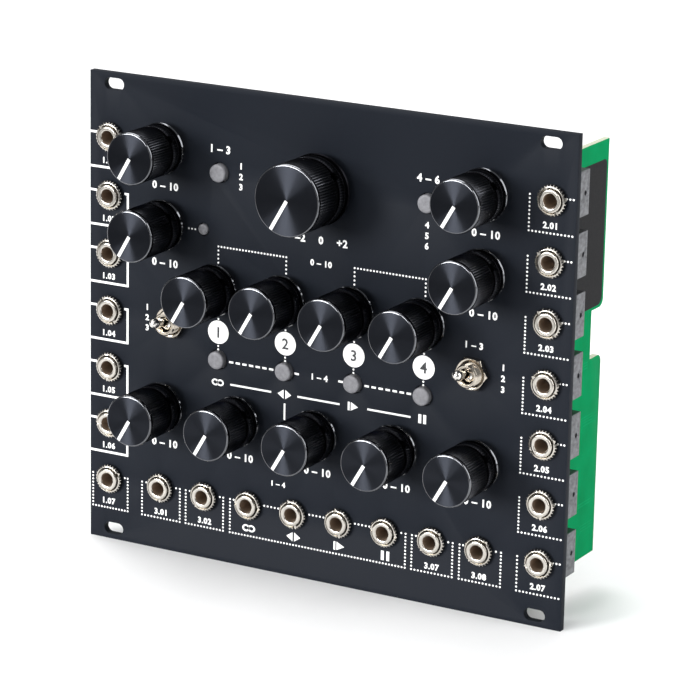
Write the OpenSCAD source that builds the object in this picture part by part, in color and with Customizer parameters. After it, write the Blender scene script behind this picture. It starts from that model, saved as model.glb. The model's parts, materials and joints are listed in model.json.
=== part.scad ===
// Rack-mounted delay module for a 3U modular synthesizer case.
// A black aluminium panel carries fourteen pots with turned and knurled knobs, six push buttons,
// two three-way toggles, a level lamp and twenty-two 3.5 mm jacks. Two jack boards stand behind
// the panel's side edges, and a control board and a main board are stacked between them.
// X is right, Y goes into the rack and Z is up. The origin is the middle of the four rack slots
// on the panel's rear face. All sizes are in millimetres.

/* [Panel] */
// Panel width in horizontal pitch units of 5.08 mm
panel_hp = 28; // [27:1:34]
// What a panel is narrower than its pitch units, so that neighbours don't bind
panel_side_gap = 0.34; // [0.1:0.02:0.6]
// Panel height
panel_h = 128.5; // [126:0.5:134]
// Panel thickness
panel_t = 2; // [1.5:0.1:3]
// Rack slot length, end to end
slot_l = 6; // [4:0.1:7]
// Rack slot width
slot_w = 3.2; // [3:0.1:3.6]
// Distance of the rack slots from the panel's upper and lower edges
slot_edge = 3; // [2.6:0.1:3.4]

/* [Control layout] */
// How far the middle of the controls lies right of the middle of the panel
control_shift = -0.5; // [-1:0.1:1]
// Distance between neighbouring head columns
head_pitch = 20.32; // [19:0.01:21]
// Height of the row of head knobs over the panel's middle
head_knob_z = 10.85; // [9:0.05:12]
// Height of the row of head buttons over the panel's middle
head_button_z = -8.55; // [-10:0.05:-6]
// Distance between neighbouring knobs of the lower row
tone_pitch = 23.43; // [22:0.01:23.6]
// Height of the lower row of knobs over the panel's lower edge
tone_row_in = 40.5; // [38.5:0.05:41]
// Distance of the side knobs from the middle of the controls
level_dx = 46.9; // [45:0.1:47.4]
// Distance of the upper side knobs below the panel's upper edge
upper_level_in = 17.8; // [16.5:0.05:19]
// Distance of the lower side knobs and of the lamp below the panel's upper edge
lower_level_in = 38.3; // [36.5:0.05:39]
// Distance of the large knob and of the two buttons beside it below the panel's upper edge
top_row_in = 22.55; // [20.5:0.05:24]
// Distance of the lamp from the middle of the controls
lamp_dx = 35.3; // [33:0.1:37]
// Distance of the toggles from the middle of the controls
toggle_dx = 44.65; // [43:0.05:46]
// Height of the toggles over the panel's middle
toggle_z = -0.25; // [-2:0.05:2]

/* [Knobs] */
// Radius of a small knob's land
knob_r = 6.9; // [6.7:0.1:7.4]
// Radius of the large knob's land
large_knob_r = 9.4; // [8:0.1:11]
// Height of a small knob's face over the panel
knob_face_z = 17.8; // [16.5:0.1:20]
// Height of the large knob's face over the panel
large_knob_face_z = 18.2; // [16.5:0.1:22]
// Gap between a knob and its pot's nut
knob_gap = 0.4; // [0.3:0.1:0.8]
// Length of the smooth land at a knob's rear end
rear_land_l = 2.1; // [1:0.1:2.6]
// Length of the short knurl behind the groove
rear_knurl_l = 2.3; // [1:0.1:2.6]
// Length of the groove between the two knurls
groove_l = 1.1; // [0.4:0.1:1.6]
// Depth of that groove below the knurls' cuts
groove_d = 0.2; // [0.15:0.05:0.4]
// Length of the bevel round the face
rim_l = 0.7; // [0.3:0.1:1.2]
// Depth of the bevel round the face
rim_d = 0.4; // [0.2:0.05:0.8]
// How far the knurls stand in from the smooth lands
knurl_in = 0.15; // [0.1:0.05:0.25]
// Depth of the knurl's V-cuts
knurl_d = 0.25; // [0.1:0.05:0.35]
// Number of ridges on a small knob
knurl_count = 64; // [48:2:80]
// Number of ridges on the large knob
large_knurl_count = 80; // [60:2:96]
// Width of the pointer line
pointer_w = 0.95; // [0.6:0.05:1.5]
// Depth of the pointer line's groove
pointer_d = 0.15; // [0.05:0.05:0.3]
// Turn of the pointer at rest, clockwise from straight up
pointer_turn = 210; // [180:1:240]
// Turn from the pointer to the set-screw hole, clockwise
grub_turn = 205; // [150:1:210]
// Radius of the set-screw hole
grub_r = 1.25; // [1:0.05:1.5]

/* [Pots] */
// Radius of the shaft
shaft_r = 3; // [2.9:0.05:3.1]
// Height of the shaft's end over the panel
shaft_end_z = 14.2; // [12:0.1:14.6]
// Depth of the flat that the set screw bears on
shaft_flat_d = 1.4; // [0.5:0.1:1.8]
// Height over the panel where that flat starts
shaft_flat_z = 5.6; // [5.4:0.1:6]
// How deep the shaft reaches into the pot's housing
shaft_seat = 5; // [3:0.1:5.6]
// Radius of the threaded bush
pot_bush_r = 3.5; // [3.4:0.05:3.7]
// Height of the bush's end over the panel
pot_bush_z = 4.4; // [3.6:0.1:4.6]
// Width of the pot's nut across flats
pot_nut_af = 10; // [9:0.1:10.4]
// Thickness of the pot's nut
pot_nut_t = 2; // [1.5:0.1:2.2]
// Width of the pot's housing
pot_w = 9.8; // [9:0.1:11]
// Height of the pot's housing
pot_l = 11.3; // [10:0.1:12]
// Depth of the pot's can, without the legs
pot_can_d = 6.8; // [6:0.1:8]
// Thickness of the pot's two legs
pot_leg_t = 0.8; // [0.5:0.1:1.2]
// Width of the pot's two legs
pot_leg_w = 5; // [3:0.1:8]

/* [Jacks] */
// Distance of the side jacks' axes from the panel's side edges
jack_edge = 6.45; // [5:0.05:7]
// Distance of the end side jacks from the panel's upper and lower edges
side_jack_in = 17.15; // [16.5:0.05:18.5]
// Height of the lower row of jacks over the panel's lower edge
jack_row_in = 17.35; // [16.5:0.05:18.5]
// Distance between neighbouring jacks of the lower row
row_jack_pitch = 13.69; // [12:0.01:13.8]
// Radius of the plug's bore
jack_bore_r = 1.8; // [1.78:0.01:1.9]
// Outer radius of the threaded bush
jack_bush_r = 3; // [2.9:0.05:3.2]
// Height of the bush's mouth over the panel
jack_bush_z = 2; // [1.9:0.1:3]
// Chamfer round the bush's mouth
jack_chamfer = 0.3; // [0.1:0.05:0.4]
// How deep the bush sits in the housing
jack_bush_seat = 3; // [2:0.1:4]
// Radius over the knurl of the round nut
jack_nut_r = 3.95; // [3.85:0.05:4.4]
// Thickness of the round nut
jack_nut_t = 1.5; // [1.2:0.1:1.6]
// Number of ridges round the nut
jack_nut_count = 30; // [20:2:40]
// Depth of the ridges round the nut
jack_nut_knurl_d = 0.28; // [0.1:0.02:0.4]
// Width of the nut's two spanner slots
jack_nut_slot_w = 1; // [0.6:0.1:1.4]
// Depth of the nut's two spanner slots
jack_nut_slot_d = 0.5; // [0.3:0.1:0.8]
// Width of a side jack's housing along its board
side_jack_w = 11.6; // [10:0.1:12.4]
// Thickness of a side jack's housing off its board
side_jack_t = 6; // [5.6:0.1:6.6]
// Depth of a side jack's housing behind the panel
side_jack_d = 11.6; // [10:0.1:13]
// Thickness of the pressed plate on a side jack
jack_plate_t = 0.4; // [0.2:0.05:0.6]
// Radius of the hole in that plate
jack_plate_hole_r = 0.65; // [0.4:0.05:0.9]
// Distance of that hole from the housing's rear end
jack_plate_hole_in = 2.2; // [1.5:0.1:3]
// Width of a lower-row jack's housing
row_jack_w = 9; // [8.4:0.1:10]
// Height of a lower-row jack's housing
row_jack_l = 10.5; // [9:0.1:11]
// Thickness of the tip contact's leaf
leaf_t = 0.3; // [0.2:0.05:0.4]
// Width of the tip contact's leaf
leaf_w = 2; // [1.4:0.1:2.4]

/* [Toggles] */
// Radius of the threaded bush
toggle_bush_r = 3.15; // [3:0.05:3.2]
// Height of the bush's end over the panel
toggle_bush_z = 4.4; // [4:0.1:5]
// Width of the hexagonal nut across flats
toggle_nut_af = 8; // [7.6:0.1:9]
// Thickness of the nut
toggle_nut_t = 1.9; // [1.4:0.1:2.4]
// Slope of the turned-off corners of the toggles' nuts, in degrees
toggle_nut_slope = 30; // [20:1:40]
// Distance of the round face that this leaves from the nuts' flats
toggle_nut_face_in = 0.12; // [0.05:0.01:0.3]
// Width of the toggle's housing
toggle_w = 7; // [6.6:0.1:8]
// Height of the toggle's housing
toggle_l = 12.7; // [11:0.1:13]
// Height of the lever's pivot over the panel
lever_pivot_z = 1.6; // [1:0.1:2]
// Radius of the lever's pivot ball
lever_ball_r = 2.1; // [1.9:0.05:2.2]
// Height of the lever's tip over the panel when upright
lever_end_z = 10.4; // [9:0.1:13]
// Radius of the lever's rounded tip
lever_tip_r = 1.35; // [1.1:0.05:1.6]
// Radius of the lever's neck
lever_neck_r = 0.95; // [0.7:0.05:1.1]
// Tilt of the lever at rest, upwards
lever_tilt = 11; // [8:0.5:12]
// Length of the lever's tail behind the pivot
lever_tail_l = 5.2; // [4.4:0.1:6]
// Radius of the cross pin that the lever swings on
lever_pin_r = 0.5; // [0.4:0.05:0.6]
// Length of that cross pin
lever_pin_l = 5.4; // [5:0.1:5.6]

/* [Buttons and lamp] */
// Radius of a button's cap
cap_r = 2.4; // [2:0.05:2.8]
// Height of a button's cap over the panel
cap_z = 1.5; // [1:0.1:2.5]
// Radius of the collar that keeps a cap behind the panel
cap_collar_r = 3; // [2.9:0.05:3.4]
// Thickness of that collar
cap_collar_t = 1; // [0.6:0.1:1.5]
// Travel of a button
button_travel = 0.4; // [0.2:0.05:0.6]
// Radius of the cap's stem
cap_stem_r = 1.4; // [1.1:0.05:1.7]
// Side of the switch body under a button
switch_w = 6; // [5:0.1:7]
// Height of the switch body over the control board
switch_h = 3.6; // [3:0.1:4.2]
// Radius of the lamp's lens
lamp_r = 1.45; // [1.2:0.05:1.6]
// Height of the lens over the panel
lamp_z = 0.5; // [0.2:0.1:1]
// Width of the bevel round the lamp's face
lamp_bevel_w = 0.5; // [0.3:0.05:0.7]
// Height of that bevel
lamp_bevel_h = 0.35; // [0.2:0.05:0.5]
// Depth of the lamp behind the panel
lamp_d = 3; // [2.5:0.1:4]
// Width of the flange round the lamp's base
lamp_flange = 0.4; // [0.3:0.05:0.5]
// Thickness of that flange
lamp_flange_t = 1; // [0.6:0.1:1.2]
// Width of the lamp's two leads
lamp_lead_w = 0.5; // [0.4:0.05:0.7]
// Distance between the lamp's two leads
lamp_lead_pitch = 1.6; // [1.27:0.01:1.8]

/* [Boards] */
// Thickness of every board
board_t = 1.6; // [1.2:0.1:2]
// Depth of the control board's front face behind the panel
control_board_y = 9.6; // [9:0.1:11]
// How far the control board's ends stand in from the panel's upper and lower edges
control_board_in = 8.75; // [7.5:0.05:10]
// How far the main board's ends stand in from the panel's upper and lower edges
main_board_in = 16.25; // [13:0.25:19]
// Gap between the stacked boards and the side boards
board_side_gap = 2.5; // [1.5:0.1:3.5]
// Length of the spacers between the stacked boards
spacer_l = 11; // [10:0.1:13]
// Width of the spacers across flats
spacer_af = 5.5; // [5:0.1:6]
// Distance of the spacers from the stacked boards' side edges
spacer_edge = 4; // [3.6:0.1:4.4]
// Distance of the spacers from the main board's upper and lower ends
spacer_in = 12.5; // [12:0.1:14]
// Radius of the screws' shanks
screw_r = 1.5; // [1.2:0.05:1.6]
// Radius of the screws' heads
screw_head_r = 2.75; // [2.4:0.05:2.8]
// Thickness of the screws' heads
screw_head_t = 1.9; // [1.4:0.1:2.4]
// Length of the screws' shanks past the board
screw_l = 4; // [3:0.1:4.8]
// How far the side boards' ends stand in from the panel's upper and lower edges
side_board_in = 8.75; // [7.5:0.05:11]
// Gap between the side boards and the panel
side_board_gap = 0.8; // [0.4:0.1:1.5]
// Depth of the side boards' rear edge behind the panel
side_board_y = 36.4; // [35:0.1:40]
// Depth of the notch in the side boards' rear edge
notch_d = 6.7; // [5:0.1:8]
// Height of the notch's lower edge
notch_low_z = -1.5; // [-3:0.1:1]
// Height of the notch's upper edge
notch_high_z = 11.3; // [9:0.1:13]
// Radius of the corners above and below the notch
notch_r = 2.2; // [1.5:0.1:3]

/* [Connectors and chips] */
// Distance between neighbouring pins
pin_pitch = 2.54; // [2.4:0.02:2.6]
// Thickness of a pin
pin_w = 0.64; // [0.5:0.02:0.7]
// Number of pins to each side board
side_pins = 10; // [6:1:10]
// Gap between the side boards' pin rows and the lower spacers
side_header_gap = 2; // [1:0.1:4]
// Number of columns in each connector between the stacked boards
stack_pins = 10; // [6:1:14]
// Distance of those connectors from the main board's upper and lower ends
stack_in = 7; // [6:0.1:8]
// Height of the socket half of those connectors
socket_h = 8.5; // [7:0.1:9]
// Number of columns in the power header
power_pins = 5; // [5:1:6]
// Distance of the power header's middle from the corner screws beside it
power_screw_in = 29.4; // [28.4:0.2:32]
// Distance of the power header's middle from the main board's lower edge
power_in = 15; // [14.5:0.25:18]
// Length of the power header's shroud beyond the last pins
power_end = 5; // [4.5:0.1:5.5]
// Width of the power header's shroud beside the rows of pins
power_side = 3.1; // [2.8:0.1:3.6]
// Height of the power header's shroud over the main board
power_h = 9; // [8:0.1:10]
// Wall of the power header's shroud
power_wall = 1.1; // [0.8:0.05:1.4]
// Thickness of the power header's floor
power_floor = 2.4; // [1.5:0.1:3]
// Width of the power header's key slot
power_key_w = 4.5; // [4:0.1:5]
// Height of the power pins over the main board
power_pin_h = 8; // [6:0.1:8.4]
// Side of the processor
processor_w = 20; // [14:0.5:24]
// Place of the processor, right and up
processor_at = [-18, 12];
// Width of the two memory chips
memory_w = 10.2; // [8:0.1:11]
// Length of the two memory chips
memory_l = 18.4; // [14:0.1:22]
// Place of the first memory chip, right and up
memory_at = [8, 12];
// Distance between the memory chips
memory_pitch = 16; // [14:0.5:18]
// Side of the two converters
converter_w = 7; // [5:0.1:9]
// Place of the first converter, right and up
converter_at = [-38, -16];
// Distance between the converters
converter_pitch = 14; // [11:0.5:16]
// Thickness of the chips
chip_t = 1.5; // [1:0.1:2]
// Radius of the supply capacitors
can_r = 3.15; // [2.5:0.05:3.6]
// Height of the supply capacitors
can_h = 5.6; // [4:0.1:7.7]
// Gap between the power header and the supply capacitors, and between these
can_gap = 1; // [0.6:0.1:1.6]

/* [Clearances] */
// Radial running clearance of shafts, balls and caps
run_gap = 0.05; // [0.03:0.01:0.08]
// Radial clearance of bushes in the panel's holes
hole_gap = 0.1; // [0.05:0.01:0.2]
// Radial clearance of threads and seats that don't move
seat_gap = 0.03; // [0.02:0.01:0.05]
// Radial clearance of the caps and the lens in the panel's holes
cap_gap = 0.3; // [0.2:0.05:0.4]

/* [Hidden] */
$fn = 48;
hp = 5.08;
slot_pitches_in = 3;
panel_w = panel_hp * hp - panel_side_gap;
slot_dx = (panel_hp - slot_pitches_in) * hp;
slot_dz = panel_h - 2 * slot_edge;

// Heights of the rows that keep their distance from the panel's upper or lower edge
upper_level_z = panel_h / 2 - upper_level_in;
lower_level_z = panel_h / 2 - lower_level_in;
top_row_z = panel_h / 2 - top_row_in;
tone_knob_z = tone_row_in - panel_h / 2;
jack_row_z = jack_row_in - panel_h / 2;
side_jack_z = side_jack_in - panel_h / 2;

// Places of the controls on the panel, as right and up from the origin
head_count = 4;
tone_count = 5;
side_jack_count = 7;
row_jack_count = 8;
dry_at = [control_shift - level_dx, upper_level_z];
record_at = [control_shift - level_dx, lower_level_z];
wet_at = [control_shift + level_dx, upper_level_z];
repeats_at = [control_shift + level_dx, lower_level_z];
speed_at = [control_shift, top_row_z];
lamp_at = [control_shift - lamp_dx, lower_level_z];
jack_x = panel_w / 2 - jack_edge;
side_jack_pitch = (panel_h - 2 * side_jack_in) / (side_jack_count - 1);
function spread(i, count) = i - (count + 1) / 2;
function head_at(i) = [control_shift + spread(i, head_count) * head_pitch, head_knob_z];
function tone_at(i) = [control_shift + spread(i, tone_count) * tone_pitch, tone_knob_z];
function head_button_at(i) = [head_at(i).x, head_button_z];
function toggle_at(side) = [control_shift + side * toggle_dx, toggle_z];
function side_jack_at(side, i) = [side * jack_x, side_jack_z + (i - 1) * side_jack_pitch];
function row_jack_at(i) = [control_shift + spread(i, row_jack_count) * row_jack_pitch, jack_row_z];
mode_button_at = [head_at(1).x, top_row_z];
tap_button_at = [head_at(head_count).x, top_row_z];
head_places = [for (i = [1:head_count]) head_at(i)];
tone_places = [for (i = [1:tone_count]) tone_at(i)];
pot_places = concat([dry_at, record_at, wet_at, repeats_at, speed_at], head_places, tone_places);
button_places = concat([mode_button_at, tap_button_at], [for (i = [1:head_count]) head_button_at(i)]);
toggle_places = [for (side = [-1, 1]) toggle_at(side)];
row_jack_places = [for (i = [1:row_jack_count]) row_jack_at(i)];
jack_places = concat([for (side = [-1, 1], i = [1:side_jack_count]) side_jack_at(side, i)], row_jack_places);

// Heights over the panel's front face, negative behind it
rear_z = -panel_t;
control_z = rear_z - control_board_y;
control_rear_z = control_z - board_t;
main_z = control_rear_z - spacer_l;
main_rear_z = main_z - board_t;

// Front end of the jacks' contacts, just behind the bushes
leaf_gap = 0.4;
leaf_z = rear_z - jack_bush_seat - leaf_gap;

// Side boards: the jacks stand on their outer faces
side_board_x = jack_x - side_jack_t / 2 - board_t;
stack_w = 2 * (side_board_x - board_side_gap);
control_board_h = panel_h - 2 * control_board_in;
main_board_h = panel_h - 2 * main_board_in;
side_board_h = panel_h - 2 * side_board_in;
spacer_x = stack_w / 2 - spacer_edge;
spacer_dz = main_board_h / 2 - spacer_in;
spacer_places = [for (sx = [-1, 1], sz = [-1, 1]) [sx * spacer_x, sz * spacer_dz]];

// Connectors
side_pin_z = main_z + pin_pitch / 2;
side_block_x = stack_w / 2 - pin_pitch;
side_header_z = side_header_gap + spacer_af / 2 + side_pins * pin_pitch / 2 - spacer_dz;
stack_dz = main_board_h / 2 - stack_in;
stack_places = [for (sz = [-1, 1]) [0, sz * stack_dz]];
header_t = 2.5;
strip_gap = 0.2;
side_socket_t = board_side_gap - strip_gap;
pin_end_gap = 0.3;
power_at = [spacer_x - power_screw_in, power_in - main_board_h / 2];
power_w = (power_pins - 1) * pin_pitch + 2 * power_end;
power_d = pin_pitch + 2 * power_side;
can_x = power_at.x + power_w / 2 + can_gap + can_r;

// Radii of the holes in the panel
pot_hole_r = pot_bush_r + hole_gap;
jack_hole_r = jack_bush_r + hole_gap;
toggle_hole_r = toggle_bush_r + hole_gap;
cap_hole_r = cap_r + cap_gap;
lamp_hole_r = lamp_r + cap_gap;

// Land behind a knob's bevel, and the bevel of its rear edge
land_l = 0.3;
rear_bevel = 0.3;
knob_z = pot_nut_t + knob_gap;

// Clearances inside the knobs
nut_room = 0.4;
bush_room = 0.6;
tail_room = 0.4;

// Puts what is drawn over the panel, x right, y up and z out of its front face, at one place
module on_panel(place) {
    translate([place.x, -panel_t, place.y]) rotate([90, 0, 0]) children();
}

// A round bar or hole from one height to another
module bar(r, low, high) {
    translate([0, 0, low]) cylinder(r = r, h = high - low);
}

// A block centred on its place, from one height to another
module block(w, l, low, high) {
    translate([-w / 2, -l / 2, low]) cube([w, l, high - low]);
}

// A hexagonal bar from one height to another, measured across its flats
module hex_bar(across, low, high) {
    translate([0, 0, low]) cylinder(r = across / sqrt(3), h = high - low, $fn = 6);
}

// Hexagonal nut on the panel, with the corners of its outer face turned off by a cone
module hex_nut(across, t, slope, face_in) {
    face_r = across / 2 - face_in;
    wide_r = across / sqrt(3) + 1;
    intersection() {
        hex_bar(across, 0, t);
        rotate_extrude() polygon([
            [0, -1],
            [wide_r, -1],
            [wide_r, t - (wide_r - face_r) * tan(slope)],
            [0, t + face_r * tan(slope)]
        ]);
    }
}

// Outline of a straight knurl: as many V-shaped ridges as its count
module knurl_outline(r, depth, count) {
    half_step = 180 / count;
    polygon([
        for (i = [0:2 * count - 1]) (r - depth * (i % 2)) * [cos(i * half_step), sin(i * half_step)]
    ]);
}

module front_panel() {
    color([0.14, 0.15, 0.18]) on_panel([0, 0]) difference() {
        block(panel_w, panel_h, rear_z, 0);
        for (sx = [-1, 1], sz = [-1, 1]) translate([sx * slot_dx / 2, sz * slot_dz / 2, 0]) rack_slot();
        for (place = pot_places) translate(place) bar(pot_hole_r, rear_z - 1, 1);
        for (place = jack_places) translate(place) bar(jack_hole_r, rear_z - 1, 1);
        for (place = toggle_places) translate(place) bar(toggle_hole_r, rear_z - 1, 1);
        for (place = button_places) translate(place) bar(cap_hole_r, rear_z - 1, 1);
        translate(lamp_at) bar(lamp_hole_r, rear_z - 1, 1);
    }
}

// Slot with round ends, long across the panel
module rack_slot() {
    reach = (slot_l - slot_w) / 2;
    for (side = [-1, 1]) translate([side * reach, 0, 0]) bar(slot_w / 2, rear_z - 1, 1);
    block(2 * reach, slot_w, rear_z - 1, 1);
}

// Outline of a side board: depth behind the panel to the right, height upwards
module side_board_outline() {
    difference() {
        translate([side_board_gap, -side_board_h / 2])
            square([side_board_y - side_board_gap, side_board_h]);
        translate([side_board_y - notch_d, notch_low_z])
            square([notch_d + 1, notch_high_z - notch_low_z]);
        translate([side_board_y, notch_low_z]) corner_cut(notch_r);
        translate([side_board_y, notch_high_z]) rotate(-90) corner_cut(notch_r);
    }
}

// What is cut off to round an upper right corner at the origin
module corner_cut(r) {
    difference() {
        translate([-r, -r]) square(r + 1);
        translate([-r, -r]) circle(r);
    }
}

module side_board(x) {
    translate([x, 0, 0]) rotate([90, 0, 90]) linear_extrude(board_t) side_board_outline();
}

module left_jack_board() {
    color([0.05, 0.55, 0.3]) side_board(-side_board_x - board_t);
}

module right_jack_board() {
    color([0.05, 0.55, 0.3]) side_board(side_board_x);
}

// A board across the stack, with the spacers' screw holes
module stacked_board(h, rear, front) {
    on_panel([0, 0]) difference() {
        block(stack_w, h, rear, front);
        for (place = spacer_places) translate(place) bar(screw_r + hole_gap, rear - 1, front + 1);
    }
}

module control_board() {
    color([0.05, 0.5, 0.28]) stacked_board(control_board_h, control_rear_z, control_z);
}

module main_board() {
    color([0.05, 0.5, 0.28]) stacked_board(main_board_h, main_rear_z, main_z);
}

module board_spacers() {
    color([0.75, 0.68, 0.45]) for (place = spacer_places) on_panel(place) difference() {
        hex_bar(spacer_af, main_z, control_rear_z);
        bar(screw_r + seat_gap, main_z - 1, control_rear_z + 1);
    }
}

// One screw with its head in front of the seat and its shank behind it
module screw(seat) {
    bar(screw_head_r, seat, seat + screw_head_t);
    bar(screw_r, seat - board_t - screw_l, seat);
}

module board_screws() {
    color([0.8, 0.8, 0.8]) for (place = spacer_places) {
        on_panel(place) screw(control_z);
        on_panel(place) mirror([0, 0, 1]) screw(-main_rear_z);
    }
}

// Plug bore, bush seat and tip contact's channel that every jack housing has
module jack_hollow(rear) {
    bar(jack_bush_r + seat_gap, rear_z - jack_bush_seat, rear_z + 1);
    bar(jack_bore_r + hole_gap, rear - 1, rear_z);
    translate([-leaf_w / 2 - seat_gap, 0, rear - 1])
        cube([leaf_w + 2 * seat_gap, jack_bore_r + hole_gap + leaf_t, leaf_z - rear + 1]);
}

module jack_housings() {
    color([0.1, 0.1, 0.11]) {
        for (side = [-1, 1], i = [1:side_jack_count]) on_panel(side_jack_at(side, i)) difference() {
            block(side_jack_t, side_jack_w, rear_z - side_jack_d, rear_z);
            jack_hollow(rear_z - side_jack_d);
        }
        for (place = row_jack_places) on_panel(place) difference() {
            block(row_jack_w, row_jack_l, control_z, rear_z);
            jack_hollow(control_z);
        }
    }
}

module jack_bushes() {
    color([0.78, 0.77, 0.74]) for (place = jack_places) on_panel(place) rotate_extrude() polygon([
        [jack_bore_r, rear_z - jack_bush_seat],
        [jack_bush_r, rear_z - jack_bush_seat],
        [jack_bush_r, jack_bush_z - jack_chamfer],
        [jack_bush_r - jack_chamfer, jack_bush_z],
        [jack_bore_r + jack_chamfer, jack_bush_z],
        [jack_bore_r, jack_bush_z - jack_chamfer]
    ]);
}

module jack_nuts() {
    color([0.82, 0.81, 0.78]) for (place = jack_places) on_panel(place) difference() {
        linear_extrude(jack_nut_t) knurl_outline(jack_nut_r, jack_nut_knurl_d, jack_nut_count);
        bar(jack_bush_r + seat_gap, -1, jack_nut_t + 1);
        rotate(45) block(2 * jack_nut_r + 1, jack_nut_slot_w, jack_nut_t - jack_nut_slot_d, jack_nut_t + 1);
    }
}

// Pressed plate on the outer side of one side jack, with its round hole
module jack_plate(side) {
    difference() {
        translate([side * (side_jack_t + jack_plate_t) / 2, 0, 0])
            block(jack_plate_t, side_jack_w, rear_z - side_jack_d, rear_z);
        translate([0, 0, rear_z - side_jack_d + jack_plate_hole_in])
            rotate([0, side * 90, 0])
                bar(jack_plate_hole_r, 0, side_jack_t);
    }
}

module jack_plates() {
    color([0.6, 0.6, 0.62])
        for (side = [-1, 1], i = [1:side_jack_count]) on_panel(side_jack_at(side, i)) jack_plate(side);
}

// One tip contact: a leaf along the top of the plug bore
module tip_contact(rear) {
    translate([-leaf_w / 2, jack_bore_r + hole_gap, rear]) cube([leaf_w, leaf_t, leaf_z - rear]);
}

module jack_contacts() {
    color([0.72, 0.5, 0.3]) {
        for (side = [-1, 1], i = [1:side_jack_count]) on_panel(side_jack_at(side, i))
            tip_contact(rear_z - side_jack_d);
        for (place = row_jack_places) on_panel(place) tip_contact(control_z);
    }
}

module pot_housings() {
    color([0.55, 0.56, 0.58]) for (place = pot_places) on_panel(place) difference() {
        union() {
            block(pot_w, pot_l, rear_z - pot_can_d, rear_z);
            for (side = [-1, 1]) translate([side * (pot_w - pot_leg_t) / 2, 0, 0])
                block(pot_leg_t, pot_leg_w, control_z, rear_z - pot_can_d);
        }
        bar(shaft_r + run_gap, rear_z - shaft_seat - 0.4, rear_z + 1);
    }
}

module pot_bushes() {
    color([0.78, 0.76, 0.7]) for (place = pot_places) on_panel(place) difference() {
        bar(pot_bush_r, rear_z, pot_bush_z);
        bar(shaft_r + run_gap, rear_z - 1, pot_bush_z + 1);
    }
}

module pot_nuts() {
    color([0.78, 0.76, 0.7]) for (place = pot_places) on_panel(place) difference() {
        hex_bar(pot_nut_af, 0, pot_nut_t);
        bar(pot_bush_r + seat_gap, -1, pot_nut_t + 1);
    }
}

module toggle_housings() {
    color([0.12, 0.12, 0.14]) for (place = toggle_places) on_panel(place) difference() {
        block(toggle_w, toggle_l, control_z, rear_z);
        block(lever_neck_r * 2 + 1, toggle_l - 2, lever_pivot_z - lever_tail_l - tail_room, rear_z + 1);
    }
}

module toggle_bushes() {
    color([0.78, 0.77, 0.74]) for (place = toggle_places) on_panel(place) difference() {
        bar(toggle_bush_r, rear_z, toggle_bush_z);
        bar(lever_ball_r + run_gap, rear_z - 1, toggle_bush_z + 1);
        lever_pin(lever_pivot_z, lever_pin_r + run_gap, lever_pin_l + 2 * run_gap);
    }
}

// Cross pin of a lever, or its hole in the bush, at a height over the panel
module lever_pin(height, r, l) {
    translate([0, 0, height]) rotate([0, 90, 0]) cylinder(r = r, h = l, center = true);
}

module toggle_nuts() {
    color([0.8, 0.79, 0.76]) for (place = toggle_places) on_panel(place) difference() {
        hex_nut(toggle_nut_af, toggle_nut_t, toggle_nut_slope, toggle_nut_face_in);
        bar(toggle_bush_r + seat_gap, -1, toggle_nut_t + 1);
    }
}

module button_switches() {
    color([0.2, 0.2, 0.22]) for (place = button_places) on_panel(place) difference() {
        block(switch_w, switch_w, control_z, control_z + switch_h);
        bar(cap_stem_r + run_gap, control_z + switch_h / 4, control_z + switch_h + 1);
    }
}

module level_lamp() {
    color([0.72, 0.72, 0.7]) on_panel(lamp_at) union() {
        rotate_extrude() polygon([
            [0, rear_z - lamp_d],
            [lamp_r + lamp_flange, rear_z - lamp_d],
            [lamp_r + lamp_flange, rear_z - lamp_d + lamp_flange_t],
            [lamp_r, rear_z - lamp_d + lamp_flange_t],
            [lamp_r, lamp_z - lamp_bevel_h],
            [lamp_r - lamp_bevel_w, lamp_z],
            [0, lamp_z]
        ]);
        for (side = [-1, 1]) translate([side * lamp_lead_pitch / 2, 0, 0])
            block(lamp_lead_w, lamp_lead_w, control_z, rear_z - lamp_d);
    }
}

// Puts what is drawn upwards onto the main board's rear face, at one place
module behind_main_board(place) {
    on_panel(place) mirror([0, 0, 1]) translate([0, 0, -main_rear_z]) children();
}

module power_header() {
    color([0.1, 0.1, 0.11]) behind_main_board(power_at) difference() {
        block(power_w, power_d, 0, power_h);
        block(power_w - 2 * power_wall, power_d - 2 * power_wall, power_floor, power_h + 1);
        translate([0, -power_d / 2, 0]) block(power_key_w, 3 * power_wall, power_floor, power_h + 1);
        for (i = [1:power_pins], row = [-0.5, 0.5])
            translate([spread(i, power_pins) * pin_pitch, row * pin_pitch, 0])
                block(pin_w + 2 * seat_gap, pin_w + 2 * seat_gap, -1, power_floor + 1);
    }
}

// Plastic blocks: pin strips on the main board's side edges, and pin and socket halves of the stack
module connector_blocks() {
    color([0.12, 0.12, 0.13]) {
        for (side = [-1, 1]) {
            on_panel([side * (side_block_x + pin_pitch / 2), side_header_z]) side_strip(pin_pitch);
            on_panel([side * (side_board_x - side_socket_t / 2), side_header_z]) side_strip(side_socket_t);
        }
        for (place = stack_places) on_panel(place) {
            difference() {
                block(stack_pins * pin_pitch, 2 * pin_pitch, control_rear_z - header_t, control_rear_z);
                stack_pin_slots(control_rear_z - header_t - 1, control_rear_z + 1);
            }
            difference() {
                block(stack_pins * pin_pitch, 2 * pin_pitch, main_z, main_z + socket_h);
                stack_pin_slots(main_z + 1, main_z + socket_h + 1);
            }
        }
    }
}

// One half of a side connector, its pins' square holes going through it sideways
module side_strip(t) {
    difference() {
        block(t, side_pins * pin_pitch, main_z, main_z + pin_pitch);
        for (i = [1:side_pins]) translate([0, spread(i, side_pins) * pin_pitch, side_pin_z])
            cube([t + 1, pin_w + 2 * seat_gap, pin_w + 2 * seat_gap], center = true);
    }
}

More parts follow.
